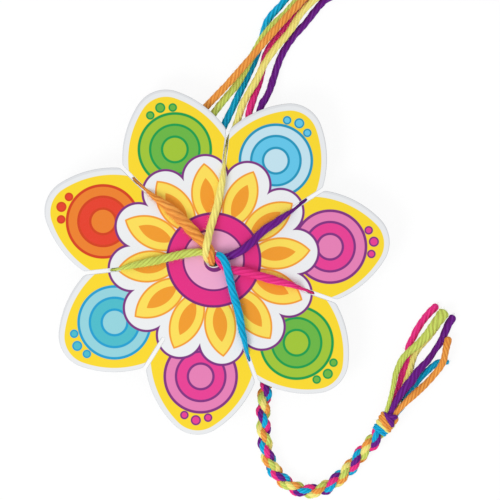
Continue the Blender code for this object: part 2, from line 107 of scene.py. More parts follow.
BRAID_LAID = laid_height(BRAID, 10)
LAID = laid_height(YARN, 8)
BOARD_LIFT = 2 * BRAID_LAID + GAP + YARN + GAP
TABLE = BACK - BOARD_LIFT
OVER_ONE = LAID + YARN + CROSSING_ROOM
OVER_TWO = OVER_ONE + YARN + CROSSING_ROOM
BEHIND = BOARD_LIFT - GAP - YARN / 2
print(f"the board floats {BOARD_LIFT:.2f} mm over the table, on yarn and braid")

# %% [markdown]
# The photograph was taken from straight above with a long lens, so the disc
# shows no perspective. A 300 mm lens more than a metre up gives that flat look
# and keeps a little of the real one. The camera comes before everything else,
# because what it can't see decides where the spare yarn may lie.

# %% Camera straight above the disc
VIEW_MIDDLE = (11.34, 2.64)
VIEW_WIDTH = 155.35
LENS, SENSOR = 300.0, 36.0
NEAREST, FARTHEST = 0.05, 10.0
camera_data = bpy.data.cameras.new("camera")
camera_data.lens = LENS
camera_data.sensor_width = SENSOR
camera_data.clip_start = NEAREST
camera_data.clip_end = FARTHEST
camera = bpy.data.objects.new("camera", camera_data)
distance = VIEW_WIDTH * LENS / SENSOR
camera.location = (*(v * MM for v in VIEW_MIDDLE), (FRONT + distance) * MM)
bpy.context.scene.collection.objects.link(camera)
bpy.context.scene.camera = camera
print(f"camera {distance / 1000:.3f} m above the printed face")

# %% [markdown]
# ## Where the yarns run
#
# A yarn is a line first and a tube later. Each line passes through a short
# list of points, and a centripetal Catmull-Rom curve joins them: it neither
# loops nor overshoots where points are close together, which a plain spline
# does. Reading it off at even steps gives the tube even rings.

# %% Smooth lines through route points
CURVE_PARTS = 16


def polar(radius, degrees):
    """A point at a radius and an angle round the hole."""
    angle = math.radians(degrees)
    return Vector((radius * math.cos(angle), radius * math.sin(angle), 0.0))


def on_table(x, y, height=LAID):
    """A route point given by its height over the table, or lying on it."""
    return Vector((x, y, TABLE + height))


def arc_marks(line):
    """How far along the line each of its points is."""
    return np.cumsum([0.0, *((b - a).length for a, b in zip(line, line[1:]))])


def line_length(line):
    """How long a line is."""
    return float(arc_marks(line)[-1])


def evenly(line, step):
    """Points about a step apart on a line of straight pieces."""
    lengths = [(b - a).length for a, b in zip(line, line[1:])]
    total = sum(lengths)
    count = max(2, math.ceil(total / step))
    marks = [total * k / count for k in range(1, count)]
    even, run = [line[0]], 0.0
    for a, b, length in zip(line, line[1:], lengths):
        while marks and run + length >= marks[0]:
            even.append(a.lerp(b, (marks.pop(0) - run) / length))
        run += length
    even.append(line[-1])
    return even


def smooth_line(points, step):
    """Even points on a smooth curve through the given ones."""
    chain = [points[0] * 2 - points[1], *points, points[-1] * 2 - points[-2]]
    line = []
    for p0, p1, p2, p3 in zip(chain, chain[1:], chain[2:], chain[3:]):
        t1 = (p1 - p0).length ** 0.5
        t2 = t1 + (p2 - p1).length ** 0.5
        t3 = t2 + (p3 - p2).length ** 0.5
        for k in range(CURVE_PARTS):
            t = t1 + (t2 - t1) * k / CURVE_PARTS
            a1 = p0.lerp(p1, t / t1)
            a2 = p1.lerp(p2, (t - t1) / (t2 - t1))
            a3 = p2.lerp(p3, (t - t2) / (t3 - t2))
            b1 = a1.lerp(a2, t / t2)
            b2 = a2.lerp(a3, (t - t1) / (t3 - t1))
            line.append(b1.lerp(b2, (t - t1) / (t2 - t1)))
    line.append(points[-1].copy())
    return evenly(line, step)


print(f"each stretch of a route is drawn in {CURVE_PARTS} parts")

# %% [markdown]
# Six of the seven slits hold a yarn, and the empty one is where the next yarn
# goes. A slit grips its yarn some way along, nearer its inner end for the
# yarns that were pulled down hard. Behind the board each yarn heads for the
# same side, and there they lie over each other in the order of these heights.
# A point without a height lies on the table.

# %% The slits, and the yarns' routes behind and beside the board
COLOURS = ("orange", "lime", "blue", "yellow", "pink", "purple")


def by_colour(*values):
    """One value for each yarn, in the order of the colours."""
    return dict(zip(COLOURS, values))


SLITS = by_colour(2, 3, 5, 1, 6, 0)
SLIT_SHARES = by_colour(0.49, 0.03, 0.26, 0.44, 0.15, 0.31)
PINCHED_LENGTH = 3.4
STRAND_REACH = 2.7
TAIL_ROUTES = {
    "orange": [
        (-13.5, 35.5, BEHIND), (-2.5, 47.1, BEHIND + 0.1), (4.3, 54.2, 6.4),
        (9.8, 60.4, OVER_TWO), (15.1, 66.6, OVER_TWO), (20.0, 72.2, 6.3),
        (26.9, 79.7, 5.9), (33.2, 86.8, 3.6), (39.2, 96.0), (43.6, 107.0),
        (45.8, 118.0),
    ],
    "lime": [
        (-15.5, 20.7, BEHIND), (-0.2, 44.9, BEHIND), (3.9, 50.2, 4.8),
        (7.6, 54.8, OVER_ONE), (12.3, 63.6, OVER_ONE), (15.8, 69.6, OVER_ONE),
        (19.8, 74.0, OVER_ONE), (24.9, 79.2, OVER_ONE), (30.2, 87.6, 1.9), (35.2, 97.0),
        (39.0, 108.0), (40.8, 120.0),
    ],
    "blue": [
        (9.2, -13.0, BEHIND), (7.8, 0.0, BEHIND), (5.4, 14.0, BEHIND),
        (1.4, 27.0, BEHIND), (0.7, 35.0, BEHIND), (3.2, 41.2, 5.1), (6.4, 48.0, 3.0),
        (9.5, 54.8), (12.3, 60.7), (15.0, 68.5), (16.9, 74.4), (21.9, 80.3),
        (26.2, 87.2), (28.3, 94.0),
    ],
    "yellow": [
        (7.0, 41.5, BEHIND), (9.2, 48.3, 4.9), (11.3, 52.2, 4.3),
        (13.6, 56.1, OVER_ONE), (15.7, 60.4, OVER_ONE), (19.1, 65.4, OVER_ONE),
        (23.8, 71.0, OVER_ONE), (26.9, 76.0, OVER_ONE), (30.9, 80.3, OVER_ONE),
        (37.2, 84.8, 3.0), (45.0, 88.7), (54.0, 90.7), (63.0, 91.1), (73.4, 93.6),
        (80.8, 102.6), (82.4, 115.0),
    ],
    "pink": [
        (20.7, 16.8, BEHIND), (11.0, 44.0, BEHIND), (12.1, 48.9, 3.7), (14.1, 54.8),
        (15.2, 59.0), (16.2, 63.5), (18.7, 67.6), (23.0, 72.7), (28.4, 80.3),
        (37.2, 87.8), (44.0, 96.2), (48.4, 106.5),
    ],
    "purple": [
        (21.0, 32.0, BEHIND), (14.4, 45.5, BEHIND), (17.2, 51.8, 3.2), (19.3, 58.3),
        (21.2, 63.5), (24.7, 69.1), (28.7, 73.5), (31.8, 77.5), (34.9, 80.8),
        (44.0, 84.4), (55.0, 86.7), (68.0, 86.9), (82.0, 84.0),
    ],
}


def slit_point(colour):
    """Where a yarn goes down through its slit."""
    margin = PINCHED_LENGTH / 2 + GAP
    room = VALLEY_RADIUS - SLIT_INNER_RADIUS - 2 * margin
    radius = SLIT_INNER_RADIUS + margin + SLIT_SHARES[colour] * room
    angle = FIRST_PETAL_ANGLE + (SLITS[colour] + 0.5) * 2 * HALF_PITCH
    return polar(radius, angle)


def tail_heading(colour):
    """The level direction in which a yarn leaves its slit behind the board."""
    x, y, _ = TAIL_ROUTES[colour][0]
    return (Vector((x, y, 0.0)) - slit_point(colour)).normalized()


print({c: round(slit_point(c).length, 1) for c in COLOURS})

# %% [markdown]
# Each yarn was cut about three quarters of a metre long, and only its first
# few centimetres show. The rest is put away as anyone would do it: wound round
# two fingers into a small coil and tied. A coil is a flat spiral that climbs
# over itself once, so its line needs a radius that shrinks and grows again and
# one short climb from the lower layer to the upper one.

# %% The coils, and each yarn's whole free line
COIL_TURNS = 3
CLIMB_TURNS = 0.5
COIL_STEP = YARN + 0.5
COIL_RADIUS = 12.5 + COIL_STEP * COIL_TURNS / 4
COIL_LAID = laid_height(YARN, 6)
POINTS_PER_TURN = 48
LINE_STEP = 0.9
COILS = by_colour(
    ((61.3, 143.0), 180.0, -1),
    ((26.5, 137.0), 0.0, 1),
    ((14.0, 103.5), 0.0, 1),
    ((97.6, 131.5), 180.0, -1),
    ((64.5, 109.0), 150.0, -1),
    ((100.0, 97.5), -90.0, 1),
)


def coil_start(colour):
    """Where a coil's first turn begins, and the direction it begins in."""
    middle, angle, sense = COILS[colour]
    start = Vector((*middle, 0.0)) + polar(COIL_RADIUS, angle)
    return start, polar(1.0, angle + 90 * sense)


def coil_line(colour):
    """In along the table, round, up a layer, and out on top."""
    middle, angle, sense = COILS[colour]
    start, direction = coil_start(colour)
    points = [on_table(*(start - direction * YARN).xy, COIL_LAID)]
    for k in range(COIL_TURNS * POINTS_PER_TURN + 1):
        turn = k / POINTS_PER_TURN
        radius = COIL_RADIUS - COIL_STEP * min(turn, COIL_TURNS - turn)
        climb = min(1.0, max(0.0, (turn - COIL_TURNS / 2) / CLIMB_TURNS + 0.5))
        rise = COIL_STEP * climb * climb * (3 - 2 * climb)
        place = Vector((*middle, 0.0)) + polar(radius, angle + 360 * turn * sense)
        points.append(on_table(*place.xy, COIL_LAID + rise))
    last = (points[-1] - points[-2]).normalized()
    points.append(points[-1] + last * YARN)
    return points


def free_line(colour):
    """A yarn from behind its slit, out beside the board and into its coil."""
    away = tail_heading(colour)
    start, direction = coil_start(colour)
    end = start - direction * (YARN + GAP)
    first = on_table(*(slit_point(colour) + away * (STRAND_REACH + GAP)).xy, BEHIND)
    route = [first + away * YARN]
    route += [on_table(*point) for point in TAIL_ROUTES[colour]]
    route.append(on_table(*(end - direction * YARN).xy, COIL_LAID))
    line = smooth_line(route, LINE_STEP)
    for point in line:
        if point.xy.length < (VALLEY_RADIUS + FLOWER_RADIUS) / 2:
            point.z = min(point.z, TABLE + BEHIND)
    return evenly([first, *line, *coil_line(colour)], LINE_STEP)


FREE_LINES = {colour: free_line(colour) for colour in COLOURS}
for colour, line in FREE_LINES.items():
    print(f"{colour}: {line_length(line):.0f} mm of free yarn")

# %% [markdown]
# The braid comes straight down out of the hole, turns level between the board
# and the table, and lies in the shape of a J up to the knot.

# %% The braid's line and the knot's place
BRAID_ROUTE = [
    (8.2, -9.8), (13.0, -17.2), (16.0, -25.0), (17.2, -33.1), (16.6, -39.0),
    (15.7, -44.3), (15.5, -50.6), (16.0, -57.6), (18.0, -64.6), (21.9, -69.4),
    (25.9, -71.9), (30.3, -72.7), (34.6, -71.7), (38.6, -69.1), (43.0, -64.9),
    (46.8, -60.2),
]
BEND_PARTS = 4
DROP = 0.3
KNOT_LENGTH = 5.6
KNOT_WIDTH = 7.1
KNOT_FLATNESS = 0.85
KNOT_SUNK = 0.975
KNOT_ANGLE = 55.8
KNOT_HEIGHT = KNOT_WIDTH / 2 * KNOT_FLATNESS * KNOT_SUNK
KNOT_MIDDLE = on_table(53.3, -51.7, KNOT_HEIGHT)
KNOT_AHEAD = polar(1.0, KNOT_ANGLE)
KNOT_LEFT = polar(1.0, KNOT_ANGLE + 90)


def braid_line():
    """From the back of the hole down to the table and along it to the knot."""
    heading = Vector((*BRAID_ROUTE[0], 0.0)).normalized()
    bend = BOARD_LIFT - BRAID_LAID
    end = KNOT_MIDDLE - KNOT_AHEAD * (KNOT_LENGTH / 2 + GAP)
    route = [Vector((0, 0, BACK)), Vector((0, 0, BACK - DROP))]
    for k in range(1, BEND_PARTS + 1):
        angle = math.pi / 2 * k / BEND_PARTS
        out = heading * bend * (1 - math.cos(angle))
        route.append(out + UP * (BACK - bend * math.sin(angle)))
    route += [on_table(x, y, BRAID_LAID) for x, y in BRAID_ROUTE]
    return smooth_line([*route, end - KNOT_AHEAD * BRAID, end], LINE_STEP)


BRAID_LINE = braid_line()
print(f"braid below the board: {line_length(BRAID_LINE):.0f} mm")

# %% [markdown]
# ## Writing nodes as Python
#
# A node tree is a formula drawn with wires. One small class wraps a socket and
# lets Python's own operators add the Math nodes, so a pattern reads like the
# geometry it draws. A second class adds every other node: its settings first,
# because they decide which sockets it has, and then the sockets.


# %% A socket that takes part in expressions
def maths(operation):
    """A method that adds one Math node for a value and what goes with it."""

    def method(value, *others):
        sockets = dict(enumerate((value, *others)))
        return value.maker.out("ShaderNodeMath", {"operation": operation}, sockets)

    return method


class Value:
    """One number in a node tree. Operators on it add Math nodes."""

    __add__ = __radd__ = maths("ADD")
    __sub__ = maths("SUBTRACT")
    __mul__ = __rmul__ = maths("MULTIPLY")
    __truediv__ = maths("DIVIDE")
    __pow__ = maths("POWER")
    __abs__ = maths("ABSOLUTE")
    above = maths("GREATER_THAN")
    angle_over = maths("ARCTAN2")
    cosine = maths("COSINE")
    most = maths("MAXIMUM")
    root = maths("SQRT")
    sine = maths("SINE")
    whole = maths("FLOOR")
    wrapped = maths("WRAP")

    def __init__(self, maker, socket):
        self.maker = maker
        self.socket = socket

    def __neg__(self):
        return self * -1.0

    def __rsub__(self, other):
        return -self + other

    def step_over(self, edge, soft):
        """0 below an edge and 1 above it, with a soft change between."""
        sockets = {"Value": self, 1: edge - soft, 2: edge + soft, 3: 0.0, 4: 1.0}
        settings = {"interpolation_type": "SMOOTHSTEP"}
        return self.maker.out("ShaderNodeMapRange", settings, sockets)


class Maker:
    """Adds nodes to one tree."""

    def __init__(self, tree):
        self.tree = tree

    def wire(self, node, sockets):
        """Set a node's sockets to values, or link them to other nodes."""
        for key, value in sockets.items():
            value = value.socket if isinstance(value, Value) else value
            if isinstance(value, bpy.types.NodeSocket):
                self.tree.links.new(value, node.inputs[key])
            else:
                node.inputs[key].default_value = value

    def node(self, kind, settings=None, sockets=None):
        """A new node."""
        made = self.tree.nodes.new(kind)
        for name, value in (settings or {}).items():
            setattr(made, name, value)
        self.wire(made, sockets or {})
        return made

    def out(self, kind, settings=None, sockets=None, output=0):
        """A new node's output, ready for an expression."""
        return Value(self, self.node(kind, settings, sockets).outputs[output])

    def shape(self, kind, sockets=None, output=0, **settings):
        """The output of a new node of Geometry Nodes."""
        return self.out(f"GeometryNode{kind}", settings, sockets, output)

    def store(self, shape, name, value, kind="FLOAT_VECTOR"):
        """A shape that carries a value on each of its points."""
        sockets = {"Geometry": shape, "Name": name, "Value": value}
        settings = {"data_type": kind, "domain": "POINT"}
        return self.shape("StoreNamedAttribute", sockets, **settings)

    def mix(self, share, a, b):
        """A colour between two colours."""
        settings = {"data_type": "RGBA", "clamp_factor": True}
        return self.out("ShaderNodeMix", settings, {0: share, 6: a, 7: b}, 2)

    def noise(self, vector, scale, detail=2.0, roughness=0.5):
        """Cloudy noise from 0 to 1."""
        sockets = {"Vector": vector, "Scale": scale}
        sockets |= {"Detail": detail, "Roughness": roughness}
        return self.out("ShaderNodeTexNoise", {}, sockets)

    def bump(self, height, strength, distance):
        """The normal of a surface that a pattern raises by a distance."""
        sockets = {"Strength": strength, "Distance": distance * MM, "Height": height}
        return self.out("ShaderNodeBump", {}, sockets)

    def vector(self, x, y, z):
        """Three numbers as one vector."""
        return self.out("ShaderNodeCombineXYZ", {}, {0: x, 1: y, 2: z})

    def parts(self, vector):
        """The three numbers of a vector."""
        split = self.node("ShaderNodeSeparateXYZ", {}, {0: vector})
        return [Value(self, socket) for socket in split.outputs]

    def vector_maths(self, operation, a, b, output=0):
        """The result of a Vector Math node."""
        settings, sockets = {"operation": operation}, {0: a, 1: b}
        if operation == "SCALE":
            sockets = {0: a, "Scale": b}
        return self.out("ShaderNodeVectorMath", settings, sockets, output)


def linear(red, green, blue):
    """An sRGB colour, 0 to 255, as the linear light that shaders use."""

    def channel(value):
        c = value / 255
        return c / 12.92 if c <= 0.04045 else ((c + 0.055) / 1.055) ** 2.4

    return (channel(red), channel(green), channel(blue), 1.0)


def new_finish(name):
    """A new material, what adds nodes to it, and its main shader."""
    made = bpy.data.materials.new(name)
    made.use_nodes = True
    return made, Maker(made.node_tree), made.node_tree.nodes["Principled BSDF"]


print("methods of a value:", sorted(n for n in vars(Value) if n[0] != "_"))

# %% [markdown]
# ## Cotton yarn
#
# The yarn is soft cotton of five plies, twisted together in an S. What the eye
# reads is the row of slanting plies, the dark grooves between them, the fine
# fibres that run along, and a dull, slightly velvety surface. The colour gets
# painted shade in a groove, where light hardly reaches, and a painted highlight
# on the crest of each ply. The shader reads the place on the yarn from two
# attributes that the geometry nodes store, so the fibres follow every bend.

# %% Yarn finish
YARN_COLOURS = by_colour(
    (255, 172, 76),
    (212, 232, 108),
    (8, 186, 236),
    (255, 244, 136),
    (250, 54, 146),
    (114, 28, 148),
)
# Painted shade for the grooves: how strong it is on each yarn, and how much of the
# plain colour it keeps.
GROOVE_SHADE_CONTRAST = by_colour(1.1, 0.9, 0.95, 0.5, 0.9, 1.0)
GROOVE_SHADE_SHARES = (0.62, 0.42, 0.45)
FIBRE_STREAKS = (8.0, 480.0, 3.0, 0.65)
BUNDLE_STREAKS = (2.8, 150.0, 2.0, 0.6)
YARN_RELIEF = (0.7, 0.16)


def yarn_finish(colour):
    """Dyed cotton: fibres along the plies, painted shade in the grooves, a painted
    highlight on the crests, a velvety sheen.
    """
    made, maker, shader = new_finish(f"cotton_{colour}")
    ply = maker.out("ShaderNodeAttribute", {"attribute_name": "ply"}, {}, 1)
    across, up, crest = maker.parts(ply)
    along = maker.out("ShaderNodeAttribute", {"attribute_name": "along"}, {}, 2)

    def streaks(fine, long, detail, roughness):
        """Noise drawn out along the plies."""
        place = maker.vector(across * fine, up * fine, along * long)
        return maker.noise(place, 1.0, detail, roughness)

    fibre, bundle = streaks(*FIBRE_STREAKS), streaks(*BUNDLE_STREAKS)
    plain = linear(*YARN_COLOURS[colour])
    shares = [1 - (1 - share) * GROOVE_SHADE_CONTRAST[colour] for share in GROOVE_SHADE_SHARES]
    # The deeper colour is painted shade for the grooves; the pale one is a painted
    # highlight for the ply crests and also tints the sheen.
    groove_shade = (*(c * share for c, share in zip(plain[:3], shares)), 1.0)
    pale = (*(min(1.0, c * 1.12 + 0.07) for c in plain[:3]), 1.0)
    strands = (bundle - 0.5) * 1.1 + (fibre - 0.5) * 0.9
    # Painted light: the crest of a ply gets the painted highlight and its groove the
    # painted shade; the fibre streaks add random lighter and darker tone.
    light = crest**0.6 * 0.7 + strands + 0.2
    body = maker.mix(light, groove_shade, plain)
    height = crest * 0.2 + bundle * 0.4 + fibre * 0.6
    sockets = {
        "Base Color": maker.mix((light - 0.8) * 1.2, body, pale),
        "Normal": maker.bump(height, *YARN_RELIEF),
        "Roughness": 0.86 + fibre * 0.12,
        "Specular IOR Level": 0.2,
        "Sheen Weight": 0.18,
        "Sheen Tint": pale,
        "Sheen Roughness": 0.6,
    }
    maker.wire(shader, sockets)
    return made


YARN_FINISH = {colour: yarn_finish(colour) for colour in COLOURS}
print("yarn finishes:", sorted(YARN_FINISH))

# %% [markdown]
# The yarn itself follows a path, which is the work that Geometry Nodes do
# well. The tree turns a line into a curve, resamples it evenly, tilts its
# rings steadily to twist the plies, and sweeps a profile with one round lobe
# for each ply along it. A number on each point of the line, the swell, makes
# the yarn thinner where something grips it.

# %% The twisted yarn tree
RING_POINTS = 30
THICKNESS_WAVE = (230.0, 17.3)
TWIST_WAVE = (110.0, 5.1)


def geometry_tree(name, source, sizes, build):
    """A tree with named inputs that ends in real geometry with its finish."""
    tree = bpy.data.node_groups.new(name, "GeometryNodeTree")

    def group_socket(label, kind, in_out="INPUT"):
        """A named input or output of the tree."""
        kind = f"NodeSocket{kind}"
        return tree.interface.new_socket(label, in_out=in_out, socket_type=kind)

    group_socket(source, "Geometry")
    names = {}
    for key, label, default in sizes:
        socket = group_socket(label, "Int" if isinstance(default, int) else "Float")
        socket.default_value = default
        names[key] = socket.identifier
    names["finish"] = group_socket("Finish", "Material").identifier
    group_socket("Result", "Geometry", "OUTPUT")
    maker = Maker(tree)
    given = maker.node("NodeGroupInput")
    inputs = {s.name: Value(maker, s) for s in given.outputs if s.name}
    shape = maker.shape("RealizeInstances", {"Geometry": build(maker, inputs)})
    sockets = {"Geometry": shape, "Material": inputs["Finish"]}
    maker.node("NodeGroupOutput", {}, {0: maker.shape("SetMaterial", sockets)})
    print(f"inputs of {name}:", names)
    return tree, names


def twisted_yarn(maker, inputs):
    """A line becomes a yarn of twisted plies."""
    curve = maker.shape("MeshToCurve", {"Mesh": inputs["Line"]})
    sockets = {"Curve": curve, "Length": inputs["Ring step"]}
    curve = maker.shape("ResampleCurve", sockets, mode="LENGTH")
    length = maker.shape("SplineParameter", output=1)
    curve = maker.store(curve, "along", length, "FLOAT")
    curve = maker.store(curve, "way", maker.shape("InputTangent"))

    def wander(scale, shift):
        """A slow random change along the yarn, above and below nought."""
        place = length * scale + inputs["Seed"] * shift
        sockets = {"W": place, "Scale": 1.0, "Detail": 1.0}
        settings = {"noise_dimensions": "1D"}
        return maker.out("ShaderNodeTexNoise", settings, sockets) - 0.5

    twist = inputs["Start angle"] - length / inputs["Turn length"] * (2 * math.pi)
    twist = twist + wander(*TWIST_WAVE) * inputs["Twist wander"]
    curve = maker.shape("SetCurveTilt", {"Curve": curve, "Tilt": twist})
    sockets = {"Resolution": RING_POINTS, "Radius": inputs["Diameter"] / 2}
    ring = maker.shape("CurvePrimitiveCircle", sockets, mode="RADIUS")
    x, y, _ = maker.parts(maker.shape("InputPosition"))
    angle = y.angle_over(x)
    crest = abs((angle * inputs["Plies"] / 2).sine())
    shrink = 1 - inputs["Groove depth"] * (1 - crest)
    ring = maker.store(ring, "ply", maker.vector(angle.cosine(), angle.sine(), crest))
    lobed = maker.vector(x * shrink, y * shrink, 0.0)
    ring = maker.shape("SetPosition", {"Geometry": ring, "Position": lobed})
    swell = maker.shape("InputNamedAttribute", {"Name": "swell"}, data_type="FLOAT")
    scale = swell * (wander(*THICKNESS_WAVE) * inputs["Unevenness"] + 1.0)
    sockets = {"Curve": curve, "Profile Curve": ring, "Scale": scale, "Fill Caps": True}
    yarn = maker.shape("CurveToMesh", sockets)
    return maker.shape("SetShadeSmooth", {"Geometry": yarn, "Shade Smooth": True})


YARN_SIZES = (
    ("diameter", "Diameter", YARN * MM),
    ("plies", "Plies", 5.0),
    ("turn", "Turn length", 10.5 * MM),
    ("groove", "Groove depth", 0.16),
    ("step", "Ring step", 0.45 * MM),
    ("phase", "Start angle", 0.0),
    ("uneven", "Unevenness", 0.12),
    ("loose", "Twist wander", 1.5),
    ("seed", "Seed", 1.0),
)
YARN_TREE = geometry_tree("twisted_yarn", "Line", YARN_SIZES, twisted_yarn)
FINE_STEP, COARSE_STEP = 0.3 * MM, 0.4 * MM
SLACK_GROOVE, STRETCHED_GROOVE = 0.18, 0.2
BRAIDED_GROOVE, KNOTTED_GROOVE = 0.13, 0.14
BRAIDED_TURN = 9.0 * MM

# %% [markdown]
# Spun cotton is never quite smooth: short loose fibres stand off it and blur
# its outline, and a cut end opens into a small brush. A second tree scatters
# points over the finished surface and stands a thin bent fibre on each. It
# reads the yarn's direction from an attribute, because loose fibres lean along
# the yarn, and it sets many more of them on a cut end.

# %% The loose fibre tree
FIBRE_BEND = 1.1
END_FACING = 0.9
LEAN_ALONG = 0.7
LEAN_ASTRAY = 0.4
SHORTEST, LONGEST = 0.35, 1.2


def loose_fibres(maker, inputs):
    """Fine fibres stand off a yarn, most of them at its cut ends."""
    sockets = {"Name": "way"}
    way = maker.shape("InputNamedAttribute", sockets, data_type="FLOAT_VECTOR")
    normal = maker.shape("InputNormal")
    facing = maker.vector_maths("DOT_PRODUCT", normal, way, 1)
    at_end = abs(facing).above(END_FACING)
    density = inputs["Fibres per square metre"]
    density = density + at_end * inputs["Fibres per square metre of a cut end"]
    spots = maker.node(
        "GeometryNodeDistributePointsOnFaces",
        {"distribute_method": "RANDOM"},
        {"Mesh": inputs["Yarn"], "Density": density, "Seed": inputs["Seed"]},
    )

    def chance(kind, low, high, seed, first, output):
        """A random number or direction for each fibre."""
        settings = {"data_type": kind}
        sockets = {first: low, first + 1: high, 8: seed}
        return maker.out("FunctionNodeRandomValue", settings, sockets, output)

    stray = chance("FLOAT_VECTOR", (-1.0,) * 3, (1.0,) * 3, 11, 0, 0)
    size = chance("FLOAT", SHORTEST, LONGEST, 23, 2, 1)
    lift = inputs["Lift off the surface"]
    lean = maker.vector_maths("SCALE", spots.outputs["Normal"], lift)
    for direction, share in ((way, LEAN_ALONG), (stray, LEAN_ASTRAY)):
        term = maker.vector_maths("SCALE", direction, share)
        lean = maker.vector_maths("ADD", lean, term)
    radius = inputs["Fibre length"] / FIBRE_BEND
    sockets = {"Resolution": 4, "Radius": radius, "Sweep Angle": FIBRE_BEND}
    arc = maker.shape("CurveArc", sockets, mode="RADIUS")
    sockets = {"Resolution": 3, "Radius": inputs["Fibre thickness"] / 2}
    section = maker.shape("CurvePrimitiveCircle", sockets, mode="RADIUS")
    sockets = {"Curve": arc, "Profile Curve": section, "Fill Caps": True}
    fibre = maker.shape("CurveToMesh", sockets)
    start = maker.vector(-radius, 0.0, 0.0)
    fibre = maker.shape("Transform", {"Geometry": fibre, "Translation": start})
    way_up = maker.out("FunctionNodeAlignRotationToVector", {"axis": "Y"}, {2: lean})
    sockets = {"Points": spots.outputs["Points"], "Instance": fibre}
    sockets |= {"Rotation": way_up, "Scale": size}
    fibres = maker.shape("InstanceOnPoints", sockets)
    whole = maker.node("GeometryNodeJoinGeometry")
    for shape in (fibres, inputs["Yarn"]):
        maker.wire(whole, {0: shape})
    return whole.outputs[0]


FIBRE_SIZES = (
    ("crowd", "Fibres per square metre", 4.0e5),
    ("end_crowd", "Fibres per square metre of a cut end", 7.0e6),
    ("length", "Fibre length", 0.9 * MM),
    ("thick", "Fibre thickness", 0.035 * MM),
    ("lift", "Lift off the surface", 0.22),
    ("seed", "Seed", 4),
)
FIBRE_TREE = geometry_tree("loose_fibres", "Yarn", FIBRE_SIZES, loose_fibres)
FINE_FIBRE = 0.022 * MM
SHORT_FIBRE, LONG_FIBRE = 0.7 * MM, 1.1 * MM
FREE_FUZZ, BRAID_FUZZ, KNOT_FUZZ, TASSEL_FUZZ = 0.9, 0.35, 0.5, 1.2

# %% [markdown]
# A tree's result is kept as a plain mesh, and the tree is let go, so that a
# piece is nothing but the surface it shows. Each finished piece then rides on
# one of the two bodies, the disc or the bracelet, and hides the solids of the
# CAD model that it stands for.


# %% From a line to a finished piece
def link(piece):
    """Put a new object into the scene."""
    bpy.context.scene.collection.objects.link(piece)
    return piece


def grown(name, data, recipe, sizes):
    """The mesh that a geometry node tree makes from some data."""
    tree, names = recipe
    carrier = link(bpy.data.objects.new(name, data))
    modifier = carrier.modifiers.new(name, "NODES")
    modifier.node_group = tree
    for key, value in sizes.items():
        modifier[names[key]] = value
    seen = carrier.evaluated_get(bpy.context.evaluated_depsgraph_get())
    mesh = bpy.data.meshes.new_from_object(seen)
    mesh.name = name
    carrier.modifiers.remove(modifier)
    bpy.data.objects.remove(carrier)
    return mesh


def yarn_mesh(name, line, colour, diameter=YARN, swell=None, **sizes):
    """A twisted yarn along a line, in metres from a line in millimetres."""
    mesh = bpy.data.meshes.new(f"{name}_line")
    edges = [(k, k + 1) for k in range(len(line) - 1)]
    mesh.from_pydata([point * MM for point in line], edges, [])
    thick = mesh.attributes.new("swell", "FLOAT", "POINT")
    thick.data.foreach_set("value", swell or [1.0] * len(line))
    sizes |= {"diameter": diameter * MM, "finish": YARN_FINISH[colour]}
    return grown(name, mesh, YARN_TREE, sizes)


def fuzzy(mesh, colour, crowd, seed, **sizes):
    """The yarn with its loose fibres, so many to a square millimetre."""
    sizes |= {"crowd": crowd * 1e6, "seed": seed, "finish": YARN_FINISH[colour]}
    fuzz = grown(f"{mesh.name}_fuzzy", mesh, FIBRE_TREE, sizes)
    fuzz.attributes.remove(fuzz.attributes["way"])
    return fuzz


def add_piece(name, mesh, body, nodes=()):
    """Link a finished mesh as a piece that rides on a body."""
    piece = link(bpy.data.objects.new(name, mesh))
    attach(piece, body)
    if nodes:
        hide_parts(*nodes)
    print(f"{name}: {len(mesh.polygons)} faces")
    return piece


def points_of(mesh):
    """A mesh's points as an array of millimetres."""
    places = np.empty(len(mesh.vertices) * 3, np.float32)
    mesh.vertices.foreach_get("co", places)
    return places.reshape(-1, 3).astype(float) / MM


def move_points(mesh, places):
    """Put a mesh's points where an array of millimetres says."""
    mesh.vertices.foreach_set("co", (places * MM).astype(np.float32).ravel())
    mesh.update()
    return mesh


def lowered_to_rest(mesh):
    """Flatten what would sink into the table that soft yarn lies on."""
    places = points_of(mesh)
    places[:, 2] = np.maximum(places[:, 2], TABLE)
    return move_points(mesh, places)


print(f"yarn rests on the table, {-TABLE:.2f} mm below the disc's middle")

# %% [markdown]
# Each free yarn's far end is a plain cut end: yarn for a bracelet is cut to
# length and has nothing on it.
# Two turns of thread hold each coil. A thread that is drawn tight runs from
# the outermost strand to the next one in straight lines, so its place at any
# angle is the strand that reaches farthest that way.

# %% The six free yarns, each with a thread that ties its coil
TAIL_DIAMETER = 2.3
TIE_THREAD = 0.7
TIE_TURNS = 2.2
TIE_PITCH = 1.1 * TIE_THREAD
TIE_SUNK = 0.1
TIE_ANGLE = 150
HELD_WIDTH = 0.8
RELAXED_TURNS = by_colour(9.5, 9.5, 14.0, 12.0, 14.0, 15.0)


def tie_line(colour):
    """Two turns of thread drawn tight round a coil's strands."""
    middle, angle, _ = COILS[colour]
    middle = Vector((*middle, 0.0))
    out = polar(1.0, angle + TIE_ANGLE)
    side = Vector((-out.y, out.x, 0.0))
    held = []
    for point in coil_line(colour):
        from_middle = point - middle
        if abs(from_middle.dot(side)) < HELD_WIDTH and from_middle.dot(out) > 0:
            held.append((from_middle.dot(out), point.z - TABLE))
    grip = TAIL_DIAMETER / 2 + TIE_THREAD / 2 - TIE_SUNK
    points = []
    for k in range(int(TIE_TURNS * POINTS_PER_TURN)):
        turn = 2 * math.pi * k / POINTS_PER_TURN - math.pi / 2
        ahead, up = math.cos(turn), math.sin(turn)
        reach, height = max(held, key=lambda spot: spot[0] * ahead + spot[1] * up)
        drift = side * (k / POINTS_PER_TURN * TIE_PITCH)
        flat = middle + out * (reach + grip * ahead) + drift
        height = max(height + grip * up, TIE_THREAD / 2)
        points.append(on_table(*flat.xy, height))
    return points


